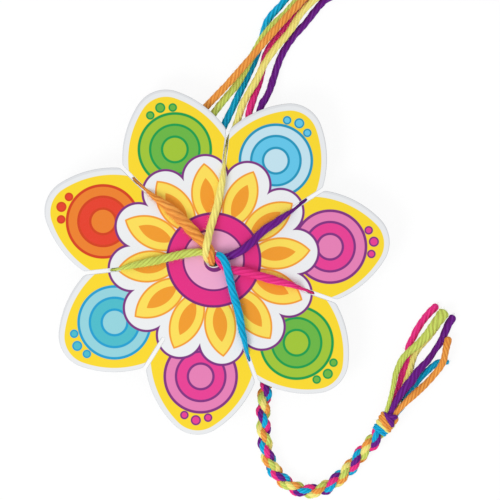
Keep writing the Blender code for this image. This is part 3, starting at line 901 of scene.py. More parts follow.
for number, colour in enumerate(COLOURS):
    line = FREE_LINES[colour]
    name, slot = f"free_yarn_{colour}", f"yarn_{colour}"
    sizes = {"turn": RELAXED_TURNS[colour] * MM, "groove": SLACK_GROOVE, "uneven": 0.3}
    sizes |= {"phase": 1.9 * number, "seed": 3.0 + number}
    yarn = yarn_mesh(name, line, colour, TAIL_DIAMETER, **sizes)
    yarn = fuzzy(lowered_to_rest(yarn), colour, FREE_FUZZ, number)
    piece = add_piece(name, yarn, "disc", (f"tail_{colour}", f"coil_{colour}"))
    name, sizes = f"tie_{colour}", {"plies": 3.0, "turn": 3 * MM, "step": FINE_STEP}
    tie = yarn_mesh(name, tie_line(colour), colour, TIE_THREAD, **sizes)
    tie_piece = add_piece(name, tie, "disc")

# %% [markdown]
# ## Across the front
#
# Each yarn comes up out of the hole, bends over its edge, lies on the printed
# face and is pulled down into its slit, which grips it. Where the yarns meet
# round the hole they pile up: the yellow one lies over the orange and the
# lime, and the blue one over the pink and the purple. The points below give
# that order as heights, and a point without one lies on the face.

# %% The yarns' routes over the front
ON_FACE = FRONT + YARN / 2 - 0.05
FRONT_ROUTES = {
    "yellow": [
        (-1.2, -0.6, -1.4), (-1.6, -0.7, 0.3), (-2.05, -0.1, 1.6), (-2.3, 0.9, 2.7),
        (-2.35, 2.4, 3.8), (-2.0, 4.6, 4.2), (-1.5, 7.0, 3.4), (-0.8, 10.0, 2.4),
        (0.0, 12.6), (1.0, 15.8), (2.1, 20.7), (2.8, 24.5), (3.1, 27.0, 2.0),
        (3.3, 29.4, 1.5), (3.5, 31.6, 0.8),
    ],
    "orange": [
        (-0.3, -0.9, -1.4), (-0.4, -1.3, 0.3), (-0.55, -0.9, 1.9), (-0.6, 0.3, 2.8),
        (-0.7, 1.6, 2.7), (-1.1, 2.8, 2.3), (-2.1, 4.1), (-3.4, 5.2), (-4.9, 6.8),
        (-7.2, 9.3), (-10.3, 12.4), (-13.4, 15.3), (-16.3, 17.7), (-18.8, 19.4, 1.9),
        (-20.8, 21.2, 1.4), (-22.3, 22.5, 0.8),
    ],
    "lime": [
        (-0.6, 0.1, -1.4), (-0.9, 0.3, 0.2), (-1.5, 0.9, 1.5), (-2.5, 1.6, 2.1),
        (-4.1, 2.0), (-8.2, 1.6), (-11.3, 0.95), (-14.5, 0.2), (-17.6, -0.6),
        (-20.7, -1.2), (-23.8, -1.9), (-26.6, -2.6, 2.0), (-28.6, -3.1, 1.5),
        (-29.8, -3.35, 0.9),
    ],
    "blue": [
        (0.5, 0.6, -1.4), (0.9, 0.9, 0.5), (1.4, 1.1, 2.3), (2.15, 0.95, 3.6),
        (2.9, 0.2, 4.2), (3.8, -1.6, 4.1), (4.6, -4.3, 3.2), (5.3, -7.4, 2.4),
        (6.1, -10.8), (7.7, -16.3), (8.8, -22.1), (9.7, -25.8), (10.1, -27.8),
        (10.5, -29.4, 1.9),
    ],
    "pink": [
        (0.2, 0.2, -1.4), (0.4, 0.9, 0.4), (0.75, 1.3, 1.8), (1.1, 0.6, 2.4),
        (1.75, -0.8, 2.4), (2.9, -2.2, 2.3), (4.3, -3.1, 2.25), (5.9, -3.6),
        (8.8, -3.9), (12.1, -4.7), (15.0, -5.6), (19.2, -6.8), (23.4, -7.9),
        (25.6, -8.7), (27.5, -9.4, 1.9), (29.2, -10.0, 1.4),
    ],
    "purple": [
        (0.7, -0.4, -1.4), (1.1, -0.5, 0.2), (2.0, -0.1, 1.7), (3.2, 0.3), (4.9, 0.7),
        (6.3, 1.2), (8.9, 2.6), (12.2, 5.3), (15.0, 8.2), (19.2, 11.1), (22.3, 13.4),
        (24.4, 14.8, 2.0), (26.3, 16.3, 1.4),
    ],
}


def on_face(x, y, height=ON_FACE):
    """A route point over the board, or lying on its printed face."""
    return Vector((x, y, height))


print({colour: len(route) for colour, route in FRONT_ROUTES.items()})

# %% [markdown]
# From its last point on the face a yarn dives into its slit, goes through the
# board where the slit grips it, and turns away behind. The dive is steep, and
# one pair of lists gives how high the yarn's middle may lie at each distance
# past the slit's inner end.

# %% A yarn's line from the hole into its slit
DIVES_LATER = by_colour(0.0, 0.0, 1.8, 0.0, 0.0, 0.0)
DIVE = ((-5.0, -2.0, 0.0, 1.5, 4.0), (9.0, 1.8, 1.0, 0.1, -0.4))
FRONT_STEP = 0.4


def front_line(colour):
    """Up from the hole, over the face, down the slit and out behind."""
    down = slit_point(colour)
    outward, away = down.normalized(), tail_heading(colour)
    route = [on_face(*point) for point in FRONT_ROUTES[colour]]
    for farther_out, farther_away, height in (
        (-0.4, 0.0, -0.3),
        (0.1, 0.0, BACK + 0.3),
        (0.0, 0.3, BACK - 0.75),
        (0.0, STRAND_REACH / 2, BACK - GAP - 1.15),
        (0.0, STRAND_REACH + GAP, BACK - GAP - YARN / 2),
    ):
        level = outward * farther_out + away * farther_away
        route.append(down + level + UP * height)
    line = smooth_line(route, FRONT_STEP)
    for point in line:
        past_end = point.dot(outward) - SLIT_INNER_RADIUS - DIVES_LATER[colour]
        point.z = min(point.z, float(np.interp(past_end, *DIVE)))
    return line


FRONT_LINES = {colour: front_line(colour) for colour in COLOURS}
print({colour: round(line_length(line)) for colour, line in FRONT_LINES.items()})

# %% [markdown]
# The slit is less than half as wide as the yarn, so the yarn goes thin as it
# enters and springs back behind the board. The tube is made round, and then
# its points are moved: across the slit they are drawn together, downwards they
# are pressed flatter, and none may go through the printed face. On the way the
# slack yarns spread a little.

# %% Press a yarn into its slit
STRAND_DIAMETERS = by_colour(2.75, 2.5, 2.5, 2.5, 2.5, 2.6)
LOOSENED = by_colour(1.35, 1.05, 1.0, 1.0, 1.1, 1.0)
BLADE = SLIT_WIDTH - 0.16
NARROWS_AT = (-26, -19, -9.5, -5.0, -1.5, 0.5)
SPRINGS_BACK_AT = (1.5, 4.7)
FLATTENS_AT, FLATNESS = (-6.0, -1.0, 1.0), (1.0, 0.75, 0.5)
CLEAR_OF_FACE = 0.02


def squeezed_in_slit(mesh, line, colour):
    """Press the yarn thin where the slit grips it, and flat where it lies."""
    marks, places = arc_marks(line), points_of(mesh)
    along = np.empty(len(mesh.vertices), np.float32)
    mesh.attributes["along"].data.foreach_get("value", along)
    along = along / MM
    points = np.array([tuple(point) for point in line])
    middle = np.column_stack([np.interp(along, marks, points[:, k]) for k in range(3)])
    down = slit_point(colour)
    gate = marks[int(np.argmin([(p - down).length for p in line]))]
    outward = np.array(tuple(down.normalized()))
    across = np.array([-outward[1], outward[0], 0.0])
    past_end = middle @ outward - SLIT_INNER_RADIUS - DIVES_LATER[colour]
    before, offset = along < gate, places - middle
    narrow, spread = BLADE / STRAND_DIAMETERS[colour], LOOSENED[colour]
    widths = (1.0, spread, spread, 0.85, 0.55, narrow)
    in_front = np.interp(past_end, NARROWS_AT, widths)
    behind = np.interp(along - gate, SPRINGS_BACK_AT, (narrow, 1.0))
    factor = np.where(before, in_front, behind)
    places += np.outer((offset @ across) * (factor - 1), across)
    flatter = np.interp(past_end, FLATTENS_AT, FLATNESS)
    places[:, 2] += np.where(before, offset[:, 2] * (flatter - 1), 0.0)
    off_line = np.abs(places @ across)
    in_cut = (places @ outward > SLIT_INNER_RADIUS) & (off_line < SLIT_WIDTH / 2)
    in_hole = np.hypot(places[:, 0], places[:, 1]) < HOLE_RADIUS
    above = before & ~in_cut & ~in_hole
    places[above, 2] = np.maximum(places[above, 2], FRONT + CLEAR_OF_FACE)
    return move_points(mesh, places)


print({c: f"{BLADE / STRAND_DIAMETERS[c]:.2f} of its width" for c in COLOURS})

# %% [markdown]
# A yarn that is pulled tight has longer turns than a slack one, so each of
# these has a turn of its own, read from the photograph. They are thinner in
# the hole, where six share the room of one braid. Handling has raised more
# fibres on the pale, slack yarns than on the tight ones.

# %% The six yarns on the front
STRETCHED_TURNS = by_colour(19.0, 10.0, 17.0, 15.0, 15.0, 20.0)
FRONT_FUZZ = by_colour(7.0, 4.5, 2.5, 5.0, 7.0, 2.0)
IN_HOLE = 0.7
THIN_UNTIL, GROWS_OVER = 1.0, 8
for number, (colour, line) in enumerate(FRONT_LINES.items()):
    name = f"front_yarn_{colour}"
    marks = arc_marks(line)
    grown_by = [min(1.0, max(0.0, mark - THIN_UNTIL) / GROWS_OVER) for mark in marks]
    swell = [IN_HOLE + (1 - IN_HOLE) * share for share in grown_by]
    sizes = {"turn": STRETCHED_TURNS[colour] * MM, "groove": STRETCHED_GROOVE}
    sizes |= {"step": FINE_STEP, "phase": float(number), "seed": 20.0 + number}
    mesh = yarn_mesh(name, line, colour, STRAND_DIAMETERS[colour], swell, **sizes)
    mesh = squeezed_in_slit(mesh, line, colour)
    sizes = {"length": LONG_FIBRE, "thick": FINE_FIBRE}
    mesh = fuzzy(mesh, colour, FRONT_FUZZ[colour], 40 + number, **sizes)
    add_piece(name, mesh, "disc", (f"strand_{colour}",))

# %% [markdown]
# ## The braid
#
# A round braid on a slotted disc is really two groups of three yarns that
# wind round each other, while the three of a group wind the other way among
# themselves. That rule is short enough to write down: each yarn's middle is
# one turning arm plus a shorter arm that turns against it. The six lines are
# then swept with the same twisted yarn as everywhere else.

# %% Six yarns braided along the braid's line
BAND_SPACINGS = (9.4, 9.9, 9.9, 9.1, 8.8, 9.5, 10.1, 10.3, 9.6)
FIRST_BAND = (16.5, -40.9)
HIDDEN_BANDS = 5
LONG_ARM, SHORT_ARM = 0.98, 0.56
INNER_RATE = 4 / 3
BRAID_YARN = 1.9
IN_KNOT = 1.3
OPENED_AT, OPENED = (0.0, IN_KNOT, 3.0, 6.0), (0.7, 0.95, 1.18, 1.0)
WOBBLES = ((0.14, 0.83, 1), (0.1, 0.31, 0))
GROUPS = {
    "pink": (0, -0.8),
    "purple": (0, 0.2),
    "blue": (0, 1.2),
    "orange": (1, -2.0),
    "lime": (1, -1.0),
    "yellow": (1, 0.0),
}


def carried_frames(points, side):
    """The direction and a sideways vector at each point, without twist."""
    frames, before = [], None
    side = side.normalized()
    for k in range(len(points)):
        ahead = points[min(k + 1, len(points) - 1)]
        behind = points[max(k - 1, 0)]
        way = (ahead - behind).normalized()
        if before is not None:
            side = before.rotation_difference(way) @ side
        side = (side - way * side.dot(way)).normalized()
        frames.append((way, side))
        before = way
    return frames


def bands_passed(mark, first):
    """How many bands lie between the first one and a mark on the line."""
    hidden = BAND_SPACINGS[0] * HIDDEN_BANDS
    places = [first - hidden, first, *(first + np.cumsum(BAND_SPACINGS[1:]))]
    numbers = [-HIDDEN_BANDS, *range(len(BAND_SPACINGS))]
    return float(np.interp(mark, places, numbers))


def braided_line(line, frames, group, place):
    """One yarn's way through the braid, from its place in the first band."""
    marks = arc_marks(line)
    flat = [(point.xy - Vector(FIRST_BAND)).length for point in line]
    nearest = int(np.argmin(flat))
    way, side = frames[nearest]
    top = math.atan2(UP.dot(way.cross(side)), UP.dot(side))
    points = []
    for mark, point, (way, side) in zip(marks, line, frames):
        turn = 2 * math.pi * (bands_passed(mark, marks[nearest]) - group / 2)
        wobble = sum(
            reach * math.sin(mark * fast + group * apart)
            for reach, fast, apart in WOBBLES
        )
        first = top - turn + wobble
        second = top + turn * INNER_RATE - place * 2 * math.pi / 3 + wobble
        opened = np.interp(marks[-1] - mark, OPENED_AT, OPENED)
        x = (LONG_ARM * math.cos(first) + SHORT_ARM * math.cos(second)) * opened
        y = (LONG_ARM * math.sin(first) + SHORT_ARM * math.sin(second)) * opened
        points.append(point + side * x + way.cross(side) * y)
    return points


def joined(name, meshes):
    """Several meshes as one, each keeping its material."""
    bm = bmesh.new()
    whole = bpy.data.meshes.new(name)
    for number, mesh in enumerate(meshes):
        start = len(bm.faces)
        bm.from_mesh(mesh)
        bm.faces.ensure_lookup_table()
        for face in bm.faces[start:]:
            face.material_index = number
    bm.to_mesh(whole)
    bm.free()
    for mesh in meshes:
        whole.materials.append(mesh.materials[0])
    return whole


into_knot = IN_KNOT / (KNOT_LENGTH / 2 + GAP)
braid_end = BRAID_LINE[-1].lerp(KNOT_MIDDLE, into_knot)
braid_core = [UP * (BACK + 0.3), *BRAID_LINE, braid_end]
braid_frames = carried_frames(braid_core, Vector((1, 0, 0)))
strands = []
for number, (colour, (group, place)) in enumerate(GROUPS.items()):
    line = braided_line(braid_core, braid_frames, group, place)
    sizes = {"turn": BRAIDED_TURN, "groove": BRAIDED_GROOVE}
    sizes |= {"step": COARSE_STEP, "seed": 50.0 + number}
    strand = yarn_mesh(f"braided_{colour}", line, colour, BRAID_YARN, **sizes)
    strand = fuzzy(strand, colour, BRAID_FUZZ, 60 + number, length=SHORT_FIBRE)
    strands.append(strand)
braid_mesh = lowered_to_rest(joined("braid_yarns", strands))
nodes, slot = ("braid",), "braided_yarn"
braid_piece = add_piece("braid_yarns", braid_mesh, "bracelet", nodes)

# %% [markdown]
# ## Knot and tassel
#
# An overhand knot in six yarns looks like a small turban: bands of yarn go
# round the bundle at a slant, one colour after the other. Each band is a line
# round an ellipse, drawn out along the braid's direction. Short ends that
# stick out of the turban are lines of their own, with a width at each point.

# %% The knot's bands
KNOT_BANDS = [
    ("blue", (-2.72, 0.0, 0.0), 2.5, 0.0, 1.15, (-115, 295)),
    ("blue", (-1.84, 0.0, 0.0), 2.62, 0.0, 1.15, (-115, 295)),
    ("yellow", (-1.0, 0.45, 0.15), 2.8, 0.0, 1.75, (-100, 280)),
    ("orange", (-0.15, 1.0, 0.35), 3.0, -0.05, 1.65, (-115, 295)),
    ("orange", (1.0, 1.1, 0.3), 3.0, 0.0, 1.65, (-115, 295)),
    ("orange", (2.7, -0.3, 0.0), 2.2, -0.8, 1.8, (150, 330)),
    ("yellow", (1.3, 0.1, 0.0), 2.2, -0.85, 1.6, (150, 330)),
    ("lime", (2.2, -0.5, 0.0), 2.3, 0.0, 1.8, (200, 380)),
]
TUCKED_ENDS = [
    (
        "purple",
        (
            (2.6, 2.2, -0.4), (3.05, 2.15, 0.7), (2.8, 1.4, 1.9), (2.25, 0.1, 2.4),
            (1.75, -1.2, 2.35), (1.15, -2.1, 1.6), (0.8, -2.6, 0.2),
        ),
        (0.6, 0.6, 1.1, 1.6, 1.7, 1.4, 0.9),
    ),
    (
        "purple",
        (
            (2.3, 0.9, 1.0), (2.75, 0.2, 1.8), (3.0, -0.5, 2.0), (3.3, -1.1, 1.8),
            (3.8, -1.7, 1.0), (3.9, -1.8, -0.8),
        ),
        (1.2, 1.9, 2.1, 1.8, 1.0, 0.8),
    ),
    (
        "purple",
        ((2.3, -0.3, 1.2), (2.2, -0.9, 1.8), (2.0, -1.4, 1.5), (1.9, -1.7, 0.0)),
        (1.3, 1.9, 1.5, 1.0),
    ),
    (
        "orange",
        (
            (3.7, -1.4, -0.6), (3.65, -2.0, 0.5), (3.1, -2.3, 1.2), (2.4, -2.3, 1.1),
            (1.9, -2.25, -0.2),
        ),
        (1.0, 1.3, 1.5, 1.4, 1.0),
    ),
    (
        "yellow",
        ((2.0, -2.0, 0.2), (1.5, -2.4, 0.9), (0.8, -2.5, 0.8), (0.4, -2.4, -0.4)),
        (0.9, 1.2, 1.2, 0.9),
    ),
]
BAND_PARTS = 60
CORE_WIDTH = 4.3
BUNDLE_HEIGHT = KNOT_WIDTH / 2 * 0.82
TUCKED_FROM, TUCKED_BY = 0.8, 0.35


def knot_point(along, left, up):
    """A point in the knot's own directions."""
    return KNOT_MIDDLE + KNOT_AHEAD * along + KNOT_LEFT * left + UP * up


def band_line(course, reach, shift, thick, span):
    """Round the knot from one angle to another, with its ends tucked in."""
    straight, slant, bow = course
    wide = reach - thick / 2
    high = max(reach, BUNDLE_HEIGHT) * KNOT_FLATNESS - thick / 2
    points = []
    for k in range(BAND_PARTS + 1):
        angle = math.radians(span[0] + (span[1] - span[0]) * k / BAND_PARTS)
        from_middle = abs(2 * k / BAND_PARTS - 1)
        past = max(0.0, from_middle - TUCKED_FROM) / (1 - TUCKED_FROM)
        tuck = 1 - TUCKED_BY * past
        across = math.cos(angle)
        along = straight + slant * across + bow * across * across
        left, up = shift + wide * tuck * across, high * tuck * math.sin(angle)
        points.append(knot_point(along, left, up))
    return points


def interpolated(line, widths):
    """A yarn's width at each point of its line, as shares of the plain one."""
    marks = arc_marks(line)
    stations = np.linspace(0.0, marks[-1], len(widths))
    return [float(width) / YARN for width in np.interp(marks, stations, widths)]


knot_parts = []
for number, (colour, course, reach, shift, thick, span) in enumerate(KNOT_BANDS):
    line = band_line(course, reach, shift, thick, span)
    sizes = {"turn": BRAIDED_TURN, "groove": KNOTTED_GROOVE, "step": FINE_STEP}
    sizes |= {"phase": 0.7 * number, "seed": 70.0 + number}
    band = yarn_mesh(f"knot_{number}", line, colour, thick, **sizes)
    band = fuzzy(band, colour, KNOT_FUZZ, 80 + number, length=SHORT_FIBRE)
    knot_parts.append(band)
for number, (colour, points, widths) in enumerate(TUCKED_ENDS):
    line = smooth_line([knot_point(*point) for point in points], 0.3)
    sizes = {"swell": interpolated(line, widths), "groove": KNOTTED_GROOVE}
    end = yarn_mesh(f"tucked_{number}", line, colour, step=FINE_STEP, **sizes)
    end = fuzzy(end, colour, KNOT_FUZZ, 95 + number, length=SHORT_FIBRE)
    knot_parts.append(end)
core = [knot_point(-2.4 + 0.4 * k, -0.15, 0) for k in range(15)]
sizes = {"turn": BRAIDED_TURN, "step": COARSE_STEP}
knot_core = yarn_mesh("knot_core", core, "purple", CORE_WIDTH, **sizes)
knot_core.attributes.remove(knot_core.attributes["way"])
knot_parts.append(knot_core)
knot_mesh = lowered_to_rest(joined("knot_bands", knot_parts))
knot_piece = add_piece("knot_bands", knot_mesh, "bracelet", ("knot",))

# %% [markdown]
# Beyond the knot the six yarns part and lie where they fall, some over others.
# Each ends in a plain scissor cut. The twist has let go there, so a yarn grows
# thicker towards its end and is rounded off over the last millimetre. The
# first two points of a route are in the knot's own directions, and the others
# are places on the table.

# %% The tassel's six ends
TASSEL = {
    "orange": [
        (2.2, -0.7, 0.4), (3.9, -0.9, 0.7), (59.2, -45.6, 4.2), (62.7, -42.3, 3.8),
        (65.4, -39.9, 3.2), (67.4, -37.9, 3.0), (69.2, -35.8, 3.4),
        (70.7, -33.9, OVER_ONE), (71.8, -31.6, OVER_ONE), (72.3, -29.4, 3.4),
        (72.7, -27.4, 2.8), (73.5, -24.5, 2.2),
    ],
    "purple": [
        (1.6, 0.2, 0.9), (2.9, 0.3, 1.0), (56.3, -45.8, OVER_ONE),
        (58.4, -42.3, OVER_ONE), (60.0, -40.1, OVER_ONE), (61.9, -37.9, OVER_ONE),
        (63.5, -35.4, OVER_ONE), (65.3, -33.5, 3.2), (67.2, -31.5, 2.2), (68.8, -29.2),
        (71.1, -25.8), (72.2, -23.4), (73.2, -20.9), (75.1, -17.8),
    ],
    "lime": [
        (2.2, 1.4, 0.9), (3.5, 1.7, 1.0), (54.7, -45.2, OVER_ONE),
        (55.5, -42.3, OVER_ONE), (56.2, -39.1, OVER_ONE), (56.8, -36.0, OVER_ONE),
        (57.7, -33.7, OVER_ONE), (59.0, -31.2, OVER_ONE), (61.1, -29.0, OVER_ONE),
        (63.3, -27.2, OVER_ONE), (65.1, -25.4, OVER_ONE), (67.0, -23.4, OVER_ONE),
        (68.8, -20.9, OVER_ONE), (70.5, -18.7, 3.4), (72.2, -16.3, 2.6),
    ],
    "pink": [
        (2.2, 1.0, -0.9), (3.6, 1.1, -1.0), (55.6, -45.6, 1.4), (57.2, -42.3),
        (58.2, -39.1), (59.1, -35.6), (60.0, -33.2), (60.5, -31.2), (60.7, -29.1),
        (61.1, -27.1), (62.3, -24.8), (64.0, -21.5), (65.8, -18.9), (67.6, -16.8),
        (70.0, -14.5),
    ],
    "yellow": [
        (2.2, -0.6, -0.9), (3.6, -0.6, -1.0), (57.1, -45.2, 1.4), (58.9, -41.7),
        (60.2, -38.1), (61.1, -35.6), (61.9, -32.6), (62.8, -30.0), (64.1, -27.9),
        (65.8, -26.0), (67.4, -24.1), (69.2, -21.8), (70.5, -20.0),
    ],
    "blue": [
        (2.4, -1.3, -0.9), (3.9, -1.3, -1.0), (58.9, -46.2, 1.4), (60.9, -42.1),
        (63.2, -39.1), (65.2, -36.6), (67.1, -34.9), (68.7, -33.5), (70.3, -32.5),
        (73.6, -32.3),
    ],
}
TASSEL_WIDTHS = by_colour(
    (1.7, 1.9, 2.5, 2.2, 2.1, 2.2, 2.5),
    (1.3, 1.5, 1.8, 2.2, 2.5, 3.3, 4.0),
    (1.5, 1.9, 2.1, 2.1, 2.1, 2.0, 1.9),
    (1.5, 2.2, 2.4, 2.3, 2.2, 2.4, 2.2),
    (1.5, 1.9, 2.2, 2.1, 2.2, 2.4, 2.4),
    (1.7, 2.1, 2.9, 2.4, 2.0, 2.5, 2.6),
)
CUT_ROUNDING = 1.1
TIP_SHARE = 0.4


def rounded_off(line, shares):
    """The yarn's widths, with its cut end drawn in to a blunt tip."""
    marks = arc_marks(line)
    for k, mark in enumerate(marks):
        left = min(1.0, (marks[-1] - mark) / CUT_ROUNDING)
        shares[k] *= TIP_SHARE + (1 - TIP_SHARE) * math.sqrt(1 - (1 - left) ** 2)
    return shares


for number, (colour, route) in enumerate(TASSEL.items()):
    name = f"tassel_yarn_{colour}"
    places = [knot_point(*point) for point in route[:2]]
    places += [on_table(*point) for point in route[2:]]
    line = smooth_line(places, FRONT_STEP)
    swell = rounded_off(line, interpolated(line, TASSEL_WIDTHS[colour]))
    sizes = {"turn": RELAXED_TURNS[colour] * MM, "groove": SLACK_GROOVE}
    sizes |= {"step": FINE_STEP, "phase": 1.3 * number, "seed": 90.0 + number}
    mesh = lowered_to_rest(yarn_mesh(name, line, colour, YARN, swell, **sizes))
    mesh = fuzzy(mesh, colour, TASSEL_FUZZ, 100 + number, thick=FINE_FIBRE)
    nodes, slot = (f"tassel_{colour}",), f"yarn_{colour}"
    add_piece(name, mesh, "bracelet", nodes)

# %% [markdown]
# ## The board
#
# The disc is die-cut from thick grey-white card with a printed sheet glued on.
# Its outline is made of arcs: one round each petal's tip, one along each side,
# and straight slits with a round inner end. The die leaves the corners where a
# petal meets its slit hardly rounded. Half a petal and half a slit are enough,
# mirrored and turned seven times.

# %% The disc's outline with its slits
PETAL_MIDDLE = Vector((FLOWER_RADIUS - PETAL_TIP_RADIUS, 0.0, 0.0))
ARC_PARTS = 26
EDGE_PARTS = 8
SLIT_END_PARTS = 6
HOLE_PARTS = 64


def turned(point, degrees):
    """The point turned about the middle of the disc."""
    return Quaternion((0, 0, 1), math.radians(degrees)) @ point


def side_arc():
    """The angle where a petal's tip ends, and the middle of its side's arc."""
    reach = polar(VALLEY_RADIUS, HALF_PITCH) - PETAL_MIDDLE
    offset = PETAL_SIDE_RADIUS - PETAL_TIP_RADIUS
    cosine = (PETAL_SIDE_RADIUS**2 - offset**2 - reach.length_squared) / (
        2 * offset * reach.length
    )
    join = math.atan2(reach.y, reach.x) - math.acos(cosine)
    return join, PETAL_MIDDLE - offset * polar(1.0, math.degrees(join))


JOIN, SIDE_MIDDLE = side_arc()


def petal_half():
    """From a petal's tip to just before its corner at the slit beside it."""
    line = [
        PETAL_MIDDLE + polar(PETAL_TIP_RADIUS, math.degrees(JOIN * k / ARC_PARTS))
        for k in range(ARC_PARTS)
    ]
    to_valley = polar(VALLEY_RADIUS, HALF_PITCH) - SIDE_MIDDLE
    end = math.atan2(to_valley.y, to_valley.x)
    for k in range(ARC_PARTS + 1):
        angle = math.degrees(JOIN + (end - JOIN) * k / ARC_PARTS)
        point = SIDE_MIDDLE + polar(PETAL_SIDE_RADIUS, angle)
        if -turned(point, -HALF_PITCH).y < SLIT_WIDTH / 2 + 2 * CORNER_ROUNDING:
            break
        line.append(point)
    return line


def slit_half():
    """A slit's edge, as seen along it, from the petal's corner inwards."""
    half = SLIT_WIDTH / 2
    middle = turned(SIDE_MIDDLE, -HALF_PITCH)

    def on_side(off_line):
        """The point of the petal's side that lies so far off the slit's line."""
        rise = math.sqrt(PETAL_SIDE_RADIUS**2 - (off_line + middle.y) ** 2)
        return Vector((middle.x + rise, -off_line, 0.0))

    before, corner = on_side(half + CORNER_ROUNDING), on_side(half)
    after = corner - Vector((2 * CORNER_ROUNDING, 0.0, 0.0))
    line = [before, (before + 2 * corner + after) / 4, after]
    centre = Vector((SLIT_INNER_RADIUS + half, 0.0, 0.0))
    inner = centre - Vector((0.0, half, 0.0))
    line += [after.lerp(inner, k / EDGE_PARTS) for k in range(1, EDGE_PARTS + 1)]
    for k in range(1, SLIT_END_PARTS + 1):
        line.append(centre + polar(half, -90 - 90 * k / SLIT_END_PARTS))
    return line


def disc_outline():
    """The whole outline, anticlockwise, slits included."""
    upper = petal_half() + [turned(point, HALF_PITCH) for point in slit_half()]
    lower = [Vector((p.x, -p.y, 0.0)) for p in upper][::-1]
    whole = []
    for petal in range(PETALS):
        degrees = FIRST_PETAL_ANGLE + petal * 2 * HALF_PITCH
        whole += [turned(point, degrees) for point in lower[1:-1] + upper]
    return whole


OUTLINE = disc_outline()
HOLE = [polar(HOLE_RADIUS, -360 * k / HOLE_PARTS) for k in range(HOLE_PARTS)]
print(f"outline of {len(OUTLINE)} points")

# %% [markdown]
# A cut edge is never quite sharp, and a camera reads the thin bright line on
# it at once. So both layers are built from the one outline as stacked rings:
# the first and last ring are drawn in a little, which rounds the edge, and the
# flat faces are filled between the outline and the hole.

# %% Board and printed sheet as stacked rings
BACK_ROUNDING, SEAM_ROUNDING, FRONT_ROUNDING = 0.16, 0.03, 0.14
RING_SHARES = (0.0, 0.3, 1.0)


def drawn_in(loop, amount):
    """The loop moved towards its inside by an amount."""
    moved = []
    for k, point in enumerate(loop):
        way = (loop[(k + 1) % len(loop)] - loop[k - 1]).normalized()
        moved.append(point + Vector((-way.y, way.x, 0.0)) * amount)
    return moved


def layer_mesh(name, low, high, round_low, round_high):
    """A flat layer with its outer edge and its hole rounded a little."""
    levels = [(low + round_low * s, round_low * (1 - s) ** 2) for s in RING_SHARES]
    for s in RING_SHARES[::-1]:
        levels.append((high - round_high * s, round_high * (1 - s) ** 2))
    bm = bmesh.new()
    rims = ([], [])
    for loop in (OUTLINE, HOLE):
        rings = []
        for height, inset in levels:
            shaped = drawn_in(loop, inset)
            rings.append([bm.verts.new((p + UP * height) * MM) for p in shaped])
        for lower, upper in zip(rings, rings[1:]):
            for k in range(len(loop)):
                j = (k + 1) % len(loop)
                face = bm.faces.new((lower[k], lower[j], upper[j], upper[k]))
                face.material_index = 1
                face.smooth = True
        for rim, ring in zip(rims, (rings[0], rings[-1])):
            rim += [bm.edges.get((ring[k - 1], ring[k])) for k in range(len(ring))]
    for index, edges in zip((1, 0), rims):
        filled = bmesh.ops.triangle_fill(bm, edges=edges, use_beauty=True)
        for face in filled["geom"]:
            if isinstance(face, bmesh.types.BMFace):
                face.material_index = index
                face.smooth = False
    bmesh.ops.recalc_face_normals(bm, faces=bm.faces)
    mesh = bpy.data.meshes.new(name)
    bm.to_mesh(mesh)
    bm.free()
    return mesh


board_mesh = layer_mesh("card_board", BACK, SEAM, BACK_ROUNDING, SEAM_ROUNDING)
face_mesh = layer_mesh("printed_sheet", SEAM, FRONT, SEAM_ROUNDING, FRONT_ROUNDING)
print(f"board {len(board_mesh.polygons)} faces, sheet {len(face_mesh.polygons)} faces")

# %% [markdown]
# The back and the cut edge are bare card: pressed fibres with hardly any gloss.
# The colour is a little greyer where the fibre relief is low, as painted shade in
# its hollows, and greyer in random clouds.


# %% Card finishes
def card_finish(name, colour, fibre_scale):
    """Uncoated card: pressed fibres, hardly any gloss."""
    made, maker, shader = new_finish(name)
    here = maker.node("ShaderNodeTexCoord").outputs["Object"]
    fibre = maker.noise(here, fibre_scale, 4.0, 0.6)
    cloud = maker.noise(here, 90.0)
    plain = linear(*colour)
    # Painted shade: greyer where the fibre bump is low, mixed with a random cloudy
    # tone.
    hollow_shade_and_mottle = (*(c * 0.86 for c in plain[:3]), 1.0)
    sockets = {
        "Base Color": maker.mix((fibre - 0.35) * 1.3 + cloud * 0.25, hollow_shade_and_mottle, plain),
        "Normal": maker.bump(fibre, 0.3, 0.08),
        "Roughness": 0.78 + fibre * 0.15,
    }
    maker.wire(shader, sockets)
    return made


CARD = card_finish("grey_card", (228, 230, 233), 3200.0)
CUT_EDGE = card_finish("cut_edge", (222, 224, 228), 4200.0)
print("card finishes:", CARD.name, CUT_EDGE.name)

# %% [markdown]
# ## The print
#
# The artwork is flat colour inside dark outlines. A drawing like that can be
# one formula: the distance to each shape decides its colour, so the pattern
# is sharp at any size and needs no image. The disc repeats seven times, so
# the angle is folded into one petal first, and each petal's colours are
# picked by its number. The print sits a little off the board's middle, as it
# does on a sheet that was printed before it was cut.

# %% The print's colours and shapes
CARD_WHITE = (236, 238, 240)
FRAME_WHITE = (240, 242, 244)
FRAME_PURPLE = (126, 46, 130)
SUN_YELLOW = (253, 220, 40)
DARK_PURPLE = (124, 30, 118)
PINK = ((233, 128, 184), (235, 60, 150), (130, 45, 130))
GREEN = ((163, 200, 50), (106, 184, 66), (5, 158, 75))
SKY = ((196, 229, 242), (98, 200, 236), (20, 150, 190))
RED = ((240, 130, 38), (233, 62, 38), (214, 62, 18))
TURQUOISE = ((150, 214, 224), (75, 190, 205), (20, 160, 210))
PETAL_COLOURS = (PINK, SKY, GREEN, RED, TURQUOISE, PINK, GREEN)
LIGHT, MID, LINE = range(3)
WHITE_RIM = 1.75
PRINT_SHIFT = (0.05, -0.45)
PRINT_SOFTNESS = 0.09
RINGS_AT = 36.4
PETAL_RINGS = (
    (11.6, LINE), (10.75, LIGHT), (8.05, LINE), (7.3, MID), (4.35, LINE), (3.6, LIGHT)
)
